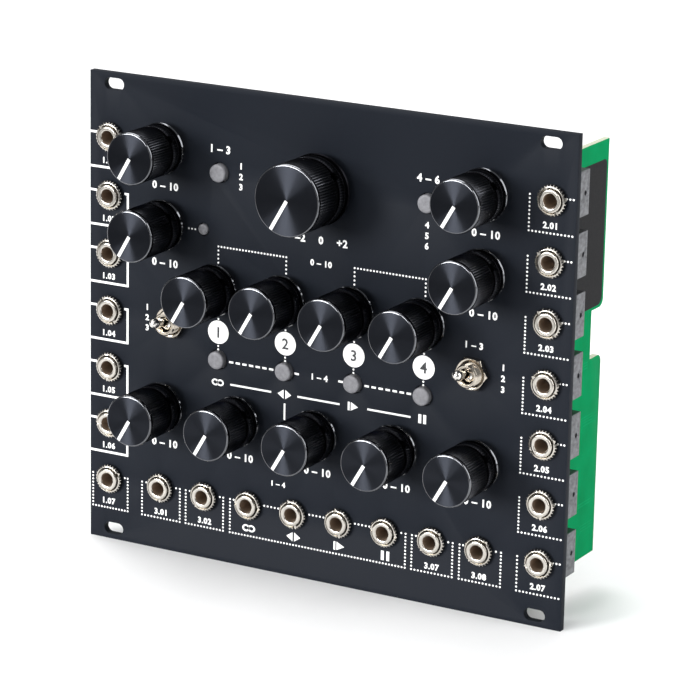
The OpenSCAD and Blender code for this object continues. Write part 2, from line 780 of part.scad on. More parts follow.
// Square holes for one stack connector's pins
module stack_pin_slots(low, high) {
    for (i = [1:stack_pins], row = [-0.5, 0.5])
        translate([spread(i, stack_pins) * pin_pitch, row * pin_pitch, 0])
            block(pin_w + 2 * seat_gap, pin_w + 2 * seat_gap, low, high);
}

module connector_pins() {
    pin_end_x = side_board_x - pin_end_gap;
    pin_middle_x = (side_block_x + pin_end_x) / 2;
    color([0.8, 0.7, 0.4]) {
        for (side = [-1, 1], i = [1:side_pins])
            on_panel([side * pin_middle_x, side_header_z + spread(i, side_pins) * pin_pitch])
                block(pin_end_x - side_block_x, pin_w, side_pin_z - pin_w / 2, side_pin_z + pin_w / 2);
        for (place = stack_places, i = [1:stack_pins], row = [-0.5, 0.5])
            on_panel(place + [spread(i, stack_pins) * pin_pitch, row * pin_pitch])
                block(pin_w, pin_w, main_z + 2, control_rear_z);
        for (i = [1:power_pins], row = [-0.5, 0.5])
            on_panel(power_at + [spread(i, power_pins) * pin_pitch, row * pin_pitch])
                block(pin_w, pin_w, main_rear_z - power_pin_h, main_rear_z);
    }
}

// Flat packages and cans on the main board's rear face
module board_chips() {
    color([0.13, 0.13, 0.14]) {
        behind_main_board(processor_at) block(processor_w, processor_w, 0, chip_t);
        for (i = [0, 1]) {
            behind_main_board(memory_at + [i * memory_pitch, 0]) block(memory_w, memory_l, 0, chip_t);
            behind_main_board(converter_at + [i * converter_pitch, 0])
                block(converter_w, converter_w, 0, chip_t);
            behind_main_board([can_x + i * (2 * can_r + can_gap), power_at.y]) bar(can_r, 0, can_h);
        }
    }
}

// Turned knob: bevelled face, long knurl, groove, short knurl and smooth land, bored from behind
module knob(place, r, face_z, count) {
    knurl_r = r - knurl_in;
    core_r = knurl_r - knurl_d - groove_d;
    rear_knurl_z = knob_z + rear_land_l;
    groove_z = rear_knurl_z + rear_knurl_l;
    knurl_z = groove_z + groove_l;
    rim_z = face_z - rim_l;
    land_z = rim_z - land_l;
    color([0.07, 0.07, 0.08]) on_panel(place) rotate(-pointer_turn) difference() {
        union() {
            rotate_extrude() polygon([
                [0, knob_z],
                [r - rear_bevel, knob_z],
                [r, knob_z + rear_bevel],
                [r, rear_knurl_z],
                [core_r, rear_knurl_z],
                [core_r, land_z],
                [r, land_z],
                [r, rim_z],
                [r - rim_d, face_z],
                [0, face_z]
            ]);
            translate([0, 0, rear_knurl_z]) linear_extrude(rear_knurl_l)
                knurl_outline(knurl_r, knurl_d, count);
            translate([0, 0, knurl_z]) linear_extrude(land_z - knurl_z)
                knurl_outline(knurl_r, knurl_d, count);
        }
        bar(pot_bush_r + nut_room, 0, pot_bush_z + bush_room);
        bar(shaft_r + seat_gap, 0, shaft_end_z + 0.4);
        translate([-pointer_w / 2, 0, face_z - pointer_d]) cube([pointer_w, r, pointer_d + 1]);
        rotate(-grub_turn) translate([0, 0, (groove_z + knurl_z) / 2])
            rotate([-90, 0, 0])
                bar(grub_r, 0, r + 1);
    }
}

module small_knob(place) {
    knob(place, knob_r, knob_face_z, knurl_count);
}

// Round shaft with a flat for the set screw
module shaft(place) {
    color([0.78, 0.78, 0.8]) on_panel(place) rotate(-pointer_turn - grub_turn) difference() {
        bar(shaft_r, rear_z - shaft_seat, shaft_end_z);
        translate([-shaft_r - 1, shaft_r - shaft_flat_d, shaft_flat_z])
            cube([2 * shaft_r + 2, shaft_flat_d + 1, shaft_end_z - shaft_flat_z + 1]);
    }
}

// Translucent cap with a collar behind the panel and a stem in its switch
module button_cap(place) {
    collar_z = rear_z - 0.3;
    stem_z = control_z + switch_h / 4 + button_travel + 0.3;
    seat_z = control_z + switch_h + button_travel + 0.3;
    color([0.7, 0.7, 0.71]) on_panel(place) rotate_extrude() polygon([
        [0, stem_z],
        [cap_stem_r, stem_z],
        [cap_stem_r, seat_z],
        [cap_r, seat_z],
        [cap_r, collar_z - cap_collar_t],
        [cap_collar_r, collar_z - cap_collar_t],
        [cap_collar_r, collar_z],
        [cap_r, collar_z],
        [cap_r, cap_z - 0.4],
        [cap_r - 0.15, cap_z - 0.1],
        [cap_r - 0.5, cap_z],
        [0, cap_z]
    ]);
}

// Lever with a rounded tip, a tapered bat, a pivot ball and a tail, tilted to its upper position
module toggle_lever(place) {
    color([0.82, 0.81, 0.78]) on_panel(place) translate([0, 0, lever_pivot_z]) rotate([-lever_tilt, 0, 0]) {
        tip_z = lever_end_z - lever_pivot_z - lever_tip_r;
        union() {
            sphere(lever_ball_r);
            cylinder(r1 = lever_neck_r, r2 = lever_tip_r, h = tip_z);
            translate([0, 0, tip_z]) sphere(lever_tip_r);
            bar(lever_neck_r, -lever_tail_l, 0);
            lever_pin(0, lever_pin_r, lever_pin_l);
        }
    }
}

front_panel();
left_jack_board();
right_jack_board();
control_board();
main_board();
board_spacers();
board_screws();
jack_housings();
jack_bushes();
jack_nuts();
jack_plates();
jack_contacts();
pot_housings();
pot_bushes();
pot_nuts();
toggle_housings();
toggle_bushes();
toggle_nuts();
button_switches();
level_lamp();
power_header();
connector_blocks();
connector_pins();
board_chips();
small_knob(dry_at);  // dry_knob
small_knob(record_at);  // record_knob
small_knob(wet_at);  // wet_knob
small_knob(repeats_at);  // repeats_knob
knob(speed_at, large_knob_r, large_knob_face_z, large_knurl_count);  // speed_knob
small_knob(head_at(1));  // head_1_knob
small_knob(head_at(2));  // head_2_knob
small_knob(head_at(3));  // head_3_knob
small_knob(head_at(4));  // head_4_knob
small_knob(tone_at(1));  // tone_1_knob
small_knob(tone_at(2));  // tone_2_knob
small_knob(tone_at(3));  // tone_3_knob
small_knob(tone_at(4));  // tone_4_knob
small_knob(tone_at(5));  // tone_5_knob
shaft(dry_at);  // dry_shaft
shaft(record_at);  // record_shaft
shaft(wet_at);  // wet_shaft
shaft(repeats_at);  // repeats_shaft
shaft(speed_at);  // speed_shaft
shaft(head_at(1));  // head_1_shaft
shaft(head_at(2));  // head_2_shaft
shaft(head_at(3));  // head_3_shaft
shaft(head_at(4));  // head_4_shaft
shaft(tone_at(1));  // tone_1_shaft
shaft(tone_at(2));  // tone_2_shaft
shaft(tone_at(3));  // tone_3_shaft
shaft(tone_at(4));  // tone_4_shaft
shaft(tone_at(5));  // tone_5_shaft
button_cap(mode_button_at);  // mode_button
button_cap(tap_button_at);  // tap_button
button_cap(head_button_at(1));  // head_1_button
button_cap(head_button_at(2));  // head_2_button
button_cap(head_button_at(3));  // head_3_button
button_cap(head_button_at(4));  // head_4_button
toggle_lever(toggle_at(-1));  // left_toggle_lever
toggle_lever(toggle_at(1));  // right_toggle_lever
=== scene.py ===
import json
import math

import bmesh
import bpy
import numpy as np
from mathutils import Matrix, Vector


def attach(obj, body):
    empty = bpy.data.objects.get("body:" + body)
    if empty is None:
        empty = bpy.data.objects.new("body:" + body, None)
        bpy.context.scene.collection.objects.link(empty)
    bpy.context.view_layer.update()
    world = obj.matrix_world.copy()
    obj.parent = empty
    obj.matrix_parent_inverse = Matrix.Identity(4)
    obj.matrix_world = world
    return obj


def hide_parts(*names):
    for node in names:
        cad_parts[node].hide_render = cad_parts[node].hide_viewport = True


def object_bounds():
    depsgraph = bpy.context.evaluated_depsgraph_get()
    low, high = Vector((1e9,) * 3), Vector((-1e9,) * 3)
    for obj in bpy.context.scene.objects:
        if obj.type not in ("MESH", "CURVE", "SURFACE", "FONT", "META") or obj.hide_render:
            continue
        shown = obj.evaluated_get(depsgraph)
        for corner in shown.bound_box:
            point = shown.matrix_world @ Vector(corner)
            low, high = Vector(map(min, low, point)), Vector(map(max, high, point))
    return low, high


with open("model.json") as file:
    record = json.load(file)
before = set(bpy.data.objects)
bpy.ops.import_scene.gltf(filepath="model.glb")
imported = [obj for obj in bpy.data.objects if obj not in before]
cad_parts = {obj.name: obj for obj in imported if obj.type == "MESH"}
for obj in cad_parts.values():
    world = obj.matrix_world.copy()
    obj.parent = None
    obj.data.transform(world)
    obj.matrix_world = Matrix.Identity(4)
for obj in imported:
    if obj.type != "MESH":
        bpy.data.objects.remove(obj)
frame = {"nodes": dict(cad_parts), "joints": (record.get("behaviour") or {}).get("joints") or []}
cad_low, cad_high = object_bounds()


# Camera at the photograph's angle: right of the panel's axis and above it, far off with a long lens.
# It has a slight roll, as the picture has.
def shown(name, data):
    """A new object of the scene."""
    made = bpy.data.objects.new(name, data)
    bpy.context.scene.collection.objects.link(made)
    return made


MM = 0.001
azimuth, elevation, roll = math.radians(28.922), math.radians(15.782), math.radians(1.18)
target = Vector((8.518, -2.0, 0.174)) * MM
distance = 878.401 * MM
focal_px, frame_px, sensor_mm = 3425.14, 700, 36.0
nearest, farthest = 0.05, 50
along_floor = math.cos(elevation)
toward = Vector((math.sin(azimuth) * along_floor, -math.cos(azimuth) * along_floor, math.sin(elevation)))
level = Vector((math.cos(azimuth), math.sin(azimuth), 0))
upright = toward.cross(level)
right = math.cos(roll) * level + math.sin(roll) * upright
above = math.cos(roll) * upright - math.sin(roll) * level
lens = bpy.data.cameras.new("camera")
lens.sensor_width = sensor_mm
lens.lens = focal_px / frame_px * sensor_mm
lens.clip_start, lens.clip_end = nearest, farthest
camera = shown("camera", lens)
facing = Matrix((right, above, toward)).transposed().to_4x4()
camera.matrix_world = Matrix.Translation(target + distance * toward) @ facing
bpy.context.scene.camera = camera
bpy.context.scene.view_settings.view_transform = "Standard"


# Studio: a pale table that the panel's lower edge stands on. Well in front of the panel it is greyer, and
# the knobs' spun faces mirror that. A narrow key light, soft lights from above, in front and behind and
# a broad one on the right, in a dim room.
def node(tree, kind, sockets=None, **values):
    """A new node with these attributes, and these values on its input sockets."""
    made = tree.nodes.new(kind)
    for key, value in values.items():
        setattr(made, key, value)
    for key, value in (sockets or {}).items():
        made.inputs[key].default_value = value
    return made


def wire(tree, *pairs):
    for out, into in pairs:
        tree.links.new(out, into)


def shader(name, **values):
    """A material with one Principled shader, whose sockets get these values."""
    made = bpy.data.materials.new(name)
    made.use_nodes = True
    tree = made.node_tree
    tree.nodes.clear()
    sockets = {key.replace("_", " "): value for key, value in values.items()}
    principled = node(tree, "ShaderNodeBsdfPrincipled", sockets)
    wire(tree, (principled.outputs[0], node(tree, "ShaderNodeOutputMaterial").inputs[0]))
    return made, tree, principled


def grained(name, dark, light, grain_mm, rough, bump_mm, stretch=(1, 1, 1), detail=4.0, **values):
    """A finish whose colour, gloss and relief vary with a noise of that grain, on Object coordinates."""
    made, tree, principled = shader(name, **values)
    place = node(tree, "ShaderNodeTexCoord")
    turn = node(tree, "ShaderNodeMapping", {"Scale": stretch})
    noise = node(tree, "ShaderNodeTexNoise", {"Scale": 1 / (grain_mm * MM), "Detail": detail})
    ramp = node(tree, "ShaderNodeValToRGB")
    for end, position, colour in zip(ramp.color_ramp.elements, (0.3, 0.7), (dark, light)):
        end.position, end.color = position, (*colour, 1)
    gloss = node(tree, "ShaderNodeMapRange", {"To Min": rough[0], "To Max": rough[1]})
    bump = node(tree, "ShaderNodeBump", {"Strength": 1.0, "Distance": bump_mm * MM})
    wire(tree, (place.outputs["Object"], turn.inputs["Vector"]), (turn.outputs[0], noise.inputs["Vector"]),
         (noise.outputs[0], ramp.inputs[0]), (ramp.outputs[0], principled.inputs["Base Color"]),
         (noise.outputs[0], gloss.inputs[0]), (gloss.outputs[0], principled.inputs["Roughness"]),
         (noise.outputs[0], bump.inputs["Height"]), (bump.outputs[0], principled.inputs["Normal"]))
    return made


reach, floor_z = 9.0, cad_low.z
table_mesh = bpy.data.meshes.new("table")
table_mesh.from_pydata([(-reach, -reach, floor_z), (reach, -reach, floor_z), (reach, reach, floor_z),
                        (-reach, reach, floor_z)], [], [(0, 1, 2, 3)])
table_white = grained("table_white", (0.89, 0.89, 0.89), (0.92, 0.92, 0.92), 40, (0.7, 0.8), 0.01)
grey_from, white_from, front_grey = -0.3, -0.12, 0.3
table_tree = table_white.node_tree
table_shader = table_tree.nodes["Principled BSDF"]
plain_white = table_shader.inputs["Base Color"].links[0].from_socket
table_place = node(table_tree, "ShaderNodeTexCoord")
apart = node(table_tree, "ShaderNodeSeparateXYZ")
nearness = node(table_tree, "ShaderNodeMapRange", {"From Min": grey_from, "From Max": white_from},
                interpolation_type="SMOOTHSTEP")
shade = node(table_tree, "ShaderNodeMix", {"A": (front_grey, front_grey, front_grey, 1)}, data_type="RGBA")
wire(table_tree, (table_place.outputs["Object"], apart.inputs[0]), (apart.outputs["Y"], nearness.inputs[0]),
     (nearness.outputs[0], shade.inputs["Factor"]), (plain_white, shade.inputs["B"]),
     (shade.outputs["Result"], table_shader.inputs["Base Color"]))
table_mesh.materials.append(table_white)
table = shown("table", table_mesh)

world = bpy.data.worlds.new("room")
world.use_nodes = True
room = world.node_tree.nodes["Background"].inputs
room["Color"].default_value = (0.95, 0.97, 1.0, 1)
room["Strength"].default_value = 0.3
bpy.context.scene.world = world


def lamp(name, kind, place, aim=(0, 0, 0), **values):
    light = bpy.data.lights.new(name, kind)
    for key, value in values.items():
        setattr(light, key, value)
    made = shown(name, light)
    made.location = place
    made.rotation_mode = "QUATERNION"
    made.rotation_quaternion = (Vector(aim) - Vector(place)).to_track_quat("-Z", "Y")


lamp("overhead_light", "SUN", (-0.7, -0.9, 1.7), energy=1.3, angle=math.radians(70))
lamp("key_light", "SUN", (-0.465, -0.86, 0.20), energy=3.0, angle=math.radians(22))
lamp("front_light", "SUN", (-0.09, -0.96, 0.27), energy=0.8, angle=math.radians(16))
lamp("right_light", "AREA", (0.9, -0.05, 0.45), aim=(0.05, 0, 0), shape="RECTANGLE", size=0.7, size_y=0.9,
     energy=6.5)
lamp("fill_light", "SUN", (-0.6, 0.65, 1.45), energy=1.7, angle=math.radians(44))


# Front panel: 2 mm aluminium sheet, punched, its edges broken, painted satin black with a fine even grain.
# Four slots take the rack's screws, and every bush, cap and lens passes through a round hole.
def break_edges(shape, least_angle, width_mm, segments):
    """Bevels every edge of a bmesh that turns by more than this angle."""
    sharp = [e for e in shape.edges if len(e.link_faces) == 2 and e.calc_face_angle(0) > least_angle]
    bmesh.ops.bevel(shape, geom=sharp, offset=width_mm * MM, segments=segments, profile=0.5, affect="EDGES",
                    clamp_overlap=True)


def smoothed(mesh, sharp_deg):
    mesh.shade_smooth()
    mesh.set_sharp_from_angle(angle=math.radians(sharp_deg))
    return mesh


def bevelled_copy(node_name, name, bevel_mm, segments=2):
    """A copy of a CAD node's mesh, merged and with its sharp edges broken by a small bevel."""
    merge_m, flat_deg, edge_deg, smooth_deg = 2e-6, 0.6, 30, 28
    mesh = frame["nodes"][node_name].data.copy()
    mesh.materials.clear()
    mesh.name = name
    shape = bmesh.new()
    shape.from_mesh(mesh)
    bmesh.ops.remove_doubles(shape, verts=shape.verts, dist=merge_m)
    bmesh.ops.dissolve_limit(shape, angle_limit=math.radians(flat_deg), verts=shape.verts, edges=shape.edges)
    break_edges(shape, math.radians(edge_deg), bevel_mm, segments)
    bmesh.ops.triangulate(shape, faces=[f for f in shape.faces if len(f.verts) > 4])
    shape.to_mesh(mesh)
    shape.free()
    return shown(name, smoothed(mesh, smooth_deg))


def fixed(piece, slot=None, *nodes, body="chassis"):
    """Hides the CAD nodes that a piece stands for, and hangs the piece on the body it rides on. The slot is
    not used.
    """
    if nodes:
        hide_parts(*nodes)
    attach(piece, body)


panel_paint = grained("panel_paint_satin", (0.0085, 0.0105, 0.0150), (0.0115, 0.0140, 0.0195), 0.22,
                      (0.48, 0.6), 0.004, detail=3.0, Specular_IOR_Level=0.07)
panel = bevelled_copy("front_panel", "panel_sheet", 0.18)
panel.data.materials.append(panel_paint)
fixed(panel, "panel_paint", "front_panel")

# Print on the panel: one pass of white screen ink, 0.03 mm thick, with dotted, dashed and solid lines,
# numbered discs, plain figures and tape-transport signs.
PANEL_FRONT = -2.0
ink_rise, ink_sink = 0.03, 0.005
ink = grained("white_ink", (0.86, 0.86, 0.85), (0.92, 0.92, 0.91), 0.15, (0.45, 0.6), 0.004)
ink_dark = grained("disc_figures", (0.012, 0.013, 0.016), (0.02, 0.021, 0.025), 0.15, (0.45, 0.6), 0.003)


def on_panel(x, up, out):
    """A point right, up and out of the panel's front face, in millimetres, as metres in the part's frame."""
    return Vector((x * MM, (PANEL_FRONT - out) * MM, up * MM))


def edge_mesh(name, lines):
    """A mesh of loose straight edges, each line's two ends given as right and up on the panel."""
    ends = [on_panel(x, up, 0) for line in lines for x, up in line]
    mesh = bpy.data.meshes.new(name)
    mesh.from_pydata(ends, [(2 * i, 2 * i + 1) for i in range(len(lines))], [])
    return shown(name, mesh)


def stamping_tree(name, *sizes):
    """A Geometry Nodes tree that stamps a template on points and joins the copies in one finish.

    Gives the tree, its inputs and the stamping node, whose points are wired by the caller."""
    tree = bpy.data.node_groups.new(name, "GeometryNodeTree")
    tree.interface.new_socket("Geometry", in_out="OUTPUT", socket_type="NodeSocketGeometry")
    for label, kind in (("Geometry", "Geometry"), ("Template", "Object"), ("Material", "Material"), *sizes):
        tree.interface.new_socket(label, in_out="INPUT", socket_type="NodeSocket" + kind)
    given, result = node(tree, "NodeGroupInput"), node(tree, "NodeGroupOutput")
    template = node(tree, "GeometryNodeObjectInfo", {"As Instance": True})
    stamp = node(tree, "GeometryNodeInstanceOnPoints")
    solid = node(tree, "GeometryNodeRealizeInstances")
    coat = node(tree, "GeometryNodeSetMaterial")
    wire(tree, (given.outputs["Template"], template.inputs[0]),
         (template.outputs["Geometry"], stamp.inputs["Instance"]), (stamp.outputs[0], solid.inputs[0]),
         (solid.outputs[0], coat.inputs[0]), (given.outputs["Material"], coat.inputs["Material"]),
         (coat.outputs[0], result.inputs[0]))
    return tree, given, stamp


def evaluated(piece):
    """The plain mesh that a piece's modifiers or letters come to."""
    bpy.context.view_layer.update()
    return bpy.data.meshes.new_from_object(piece.evaluated_get(bpy.context.evaluated_depsgraph_get()))


def grown(piece, tree, mesh, finish, **sizes):
    """Stamps a mesh over a piece by a tree, and leaves the result as the piece's plain mesh, in one slot."""
    template = shown("template", mesh)
    values = {"Template": template, "Material": finish, **sizes}
    run = piece.modifiers.new("grow", "NODES")
    run.node_group = tree
    for item in tree.interface.items_tree:
        if item.in_out == "INPUT" and item.name in values:
            run[item.identifier] = values[item.name]
    piece.update_tag()
    done = evaluated(piece)
    piece.modifiers.remove(run)
    bpy.data.objects.remove(template)
    done.materials.clear()
    done.materials.append(finish)
    done.polygons.foreach_set("material_index", [0] * len(done.polygons))
    piece.data = done
    done.name = piece.name
    return piece


# Marks along lines: points a pitch apart on every edge, one mark on each.
marks_along, given, stamp = stamping_tree("marks_along", ("Pitch", "Float"))
as_curve = node(marks_along, "GeometryNodeMeshToCurve")
as_points = node(marks_along, "GeometryNodeCurveToPoints", mode="LENGTH")
once = node(marks_along, "GeometryNodeMergeByDistance", {"Distance": 0.0002})
wire(marks_along, (given.outputs["Geometry"], as_curve.inputs[0]), (as_curve.outputs[0], as_points.inputs[0]),
     (given.outputs["Pitch"], as_points.inputs["Length"]), (as_points.outputs[0], once.inputs[0]),
     (once.outputs[0], stamp.inputs["Points"]))


def meshed(name, shape):
    """The mesh of a finished bmesh, which is then freed."""
    mesh = bpy.data.meshes.new(name)
    shape.to_mesh(mesh)
    shape.free()
    return mesh


def joined(name, meshes):
    """One mesh of several."""
    shape = bmesh.new()
    for mesh in meshes:
        shape.from_mesh(mesh)
    return meshed(name, shape)


def finished(name, mesh, finish):
    """A piece of one mesh in one finish."""
    mesh.materials.append(finish)
    return shown(name, mesh)


def flat_mesh(name, outlines):
    """Flat closed outlines on the panel, given right and up in millimetres, raised by the ink's thickness."""
    shape = bmesh.new()
    for outline in outlines:
        low = [shape.verts.new((x * MM, ink_sink * MM, up * MM)) for x, up in outline]
        high = [shape.verts.new((x * MM, -ink_rise * MM, up * MM)) for x, up in outline]
        shape.faces.new(high)
        for i in range(len(low)):
            j = (i + 1) % len(low)
            shape.faces.new((low[i], low[j], high[j], high[i]))
    bmesh.ops.recalc_face_normals(shape, faces=shape.faces)
    bmesh.ops.triangulate(shape, faces=[f for f in shape.faces if len(f.verts) > 4])
    return meshed(name, shape)


def round_outline(x, up, r, corners=40):
    return [(x + r * math.cos(2 * math.pi * i / corners), up + r * math.sin(2 * math.pi * i / corners))
            for i in range(corners)]


def bar_outline(low_x, low_up, high_x, high_up):
    return [(low_x, low_up), (high_x, low_up), (high_x, high_up), (low_x, high_up)]


# Places of the controls, right and up from the middle of the rack slots.
shift = -0.5
head_pitch, tone_pitch, row_pitch, side_pitch = 20.32, 23.43, 13.69, 15.7
head_x = [shift + (i - 1.5) * head_pitch for i in range(4)]
tone_x = [shift + (i - 2) * tone_pitch for i in range(5)]
row_jack_x = [shift + (i - 3.5) * row_pitch for i in range(8)]
jack_x, jack_row_z, nut_r = 64.5, -46.9, 3.95
box_c = [jack_row_z + side_pitch * i for i in range(7)]
dot_pitch, dot_r, dot_gap, dash_pitch = 0.92, 0.27, 0.75, 2.02

dotted = []
for c in box_c:
    dotted += [((58.15, c + 0.5), (59.07, c + 0.5)), ((58.15, c + 0.5), (58.15, c - 8.7)),
               ((58.15, c - 8.7), (70.11, c - 8.7)), ((68.27, c + 0.5), (70.11, c + 0.5))]
low_top, low_bottom = -46.35, -55.6
dotted += [((-70.13, low_bottom), (-59.05, low_bottom)), ((-59.05, low_bottom), (-59.05, low_top)),
           ((-59.97, low_top), (-59.05, low_top)), ((-70.13, low_top), (-69.21, low_top)),
           ((-70.13, low_bottom), (-70.13, low_top))]
row_boxes = ((-54.46, -42.5, 0, 1), (-40.65, -28.95, 1, 2), (-26.85, 26.0, 2, 6), (27.87, 39.7, 6, 7),
             (41.7, 53.55, 7, 8))
for low_x, high_x, first, last in row_boxes:
    jacks = row_jack_x[first:last]
    dotted += [((low_x, low_top), (low_x, low_bottom)), ((low_x, low_bottom), (high_x, low_bottom)),
               ((high_x, low_bottom), (high_x, low_top))]
    starts = [low_x] + [x + nut_r + dot_gap for x in jacks]
    ends = [x - nut_r - dot_gap for x in jacks] + [high_x]
    dotted += [((a, low_top), (b, low_top)) for a, b in zip(starts, ends) if b - a > 0.4]
level_line = 22.0
dotted += [((-31.2, level_line), (-10.75, level_line)), ((9.4, level_line), (29.95, level_line))]
dotted += [((x, level_line), (x, 17.65)) for x in (-31.2, -10.75, 9.4, 29.95)]
dotted += [((-40.27, 25.64), (-38.31, 25.64))]
disc_z, disc_r = -1.1, 3.15
for x in head_x:
    dotted += [((x, 2.5), (x, 2.9)), ((x, -4.85), (x, -5.77))]

dot = flat_mesh("dot", [round_outline(0, 0, dot_r, 14)])
dots = grown(edge_mesh("print_dots", dotted), marks_along, dot, ink, Pitch=dot_pitch * MM)
dashed = [((-26.95, -8.7), (-14.8, -8.7)), ((-7.12, -8.7), (-7.1, -8.7)), ((5.95, -8.7), (5.97, -8.7)),
          ((13.65, -8.7), (25.9, -8.7))]
dash = flat_mesh("dash", [bar_outline(-0.65, -0.27, 0.65, 0.27)])
dashes = grown(edge_mesh("print_dashes", dashed), marks_along, dash, ink, Pitch=dash_pitch * MM)


def infinity_outlines(x, up, w):
    """Two rings side by side, each as a closed band of quads."""
    r, t = w / 4, w * 0.075
    made = []
    for side in (-1, 1):
        cx, n = x + side * r * 0.96, 20
        for i in range(n):
            a, b = 2 * math.pi * i / n, 2 * math.pi * (i + 1) / n
            made.append([(cx + (r + q) * math.cos(s), up + (r + q) * 0.86 * math.sin(s))
                         for q, s in ((-t, a), (t, a), (t, b), (-t, b))])
    return made


def arrow_outline(x, up, w, h):
    return [(x, up + h / 2), (x, up - h / 2), (x + w, up)]


outlines = []
line_w = 0.62
for c in box_c[1:]:
    left, right_x, top, bottom = -70.95, -59.2, c + 0.6, c - 8.65
    h = line_w / 2
    outlines += [bar_outline(left, bottom - h, right_x + h, bottom + h),
                 bar_outline(right_x - h, bottom + h, right_x + h, top - h),
                 bar_outline(left, top - h, -jack_x - nut_r - 0.3, top + h),
                 bar_outline(-jack_x + nut_r + 0.3, top - h, right_x + h, top + h)]
outlines += [round_outline(x, disc_z, disc_r) for x in head_x]
sign_z = -14.8
for low_x, high_x in ((-27.16, -14.68), (-6.79, 5.77), (13.99, 26.57)):
    outlines.append(bar_outline(low_x, sign_z - 0.25, high_x, sign_z + 0.25))
outlines.append(bar_outline(-10.85, -21.76, -10.35, -17.26))
for x, up, w in ((-31.0, sign_z, 3.3), (-21.0, -53.45, 3.5)):
    outlines += infinity_outlines(x, up, w)
for x, up, w, h in ((-10.7, sign_z, 4.1, 2.5), (-7.35, -53.35, 4.2, 2.5)):
    outlines += [arrow_outline(x + 0.25, up, w / 2 - 0.25, h),
                 arrow_outline(x - 0.25, up, -(w / 2 - 0.25), h)]
for x, up, w, h in ((9.7, sign_z, 3.0, 2.3), (6.4, -53.4, 3.2, 2.3)):
    outlines += [bar_outline(x - w / 2, up - h / 2, x - w / 2 + 0.55, up + h / 2),
                 arrow_outline(x - w / 2 + 0.9, up, w - 0.9, h)]
for x, up, w, h in ((29.95, sign_z, 2.25, 2.4), (20.15, -53.45, 2.45, 2.6)):
    outlines += [bar_outline(x - w / 2, up - h / 2, x - w / 2 + 0.85, up + h / 2),
                 bar_outline(x + w / 2 - 0.85, up - h / 2, x + w / 2, up + h / 2)]
lines_mesh = flat_mesh("print_lines", outlines)
lines_mesh.transform(Matrix.Translation(on_panel(0, 0, 0)))
lines = finished("print_lines", lines_mesh, ink)


def figures(name, rows, finish, rise=ink_rise, weight=0.05):
    """Plain figures in ink: a row is its text, middle, baseline and cap height."""
    cap_share, spacing = 0.72, 1.12
    meshes = []
    for text, x, baseline, cap in rows:
        curve = bpy.data.curves.new("figures", "FONT")
        curve.body = text
        curve.size = cap / cap_share * MM
        curve.space_character = spacing
        curve.align_x = "CENTER"
        curve.offset = weight * cap * MM
        curve.resolution_u = 2
        curve.extrude = 0.5 * rise * MM
        carrier = shown("figures", curve)
        mesh = evaluated(carrier)
        stand = Matrix.Rotation(math.pi / 2, 4, "X")
        mesh.transform(Matrix.Translation(on_panel(x, baseline, 0.45 * rise)) @ stand)
        bpy.data.objects.remove(carrier)
        meshes.append(mesh)
    return finished(name, joined(name, meshes), finish)


large_cap, cap, dial = 2.0, 1.6, "0 – 10"
rows = [(f"1.0{7 - i}", -65.2, c - 7.5, cap) for i, c in enumerate(box_c)]
rows += [(f"2.0{7 - i}", 64.1, c - 7.5, cap) for i, c in enumerate(box_c)]
rows += [(f"3.0{i + 1}", x, -54.6, cap) for i, x in enumerate(row_jack_x) if i in (0, 1, 6, 7)]
rows += [(dial, x, up, large_cap) for x in (-47.6, 46.4) for up in (35.1, 14.35)]
rows += [(dial, x, -35.15, large_cap) for x in tone_x]
rows += [("–2    0    +2", shift, 26.9, large_cap), (dial, -0.45, 21.0, cap), ("1 – 4", -0.45, -9.4, cap),
         ("1 – 4", -12.3, -40.3, 1.4), ("1 – 3", -31.0, 46.95, large_cap),
         ("4 – 6", 29.9, 47.05, large_cap), ("1 – 3", 44.0, 6.1, 1.7)]
for first, x, ups in ((1, -24.6, (43.4, 40.6, 37.9)), (4, 29.9, (35.3, 32.5, 29.85)),
                      (1, 52.5, (1.6, -1.25, -4.1)), (1, -53.0, (1.7, -1.1, -3.9))):
    rows += [(str(first + i), x, up, cap) for i, up in enumerate(ups)]
print_figures = figures("print_figures", rows, ink)
disc_rows = [(str(i + 1), x, disc_z - 1.45, 2.9) for i, x in enumerate(head_x)]
disc_figures = figures("disc_figures", disc_rows, ink_dark, rise=2.4 * ink_rise, weight=0.03)
for piece in (dots, dashes, lines, print_figures, disc_figures):
    fixed(piece)


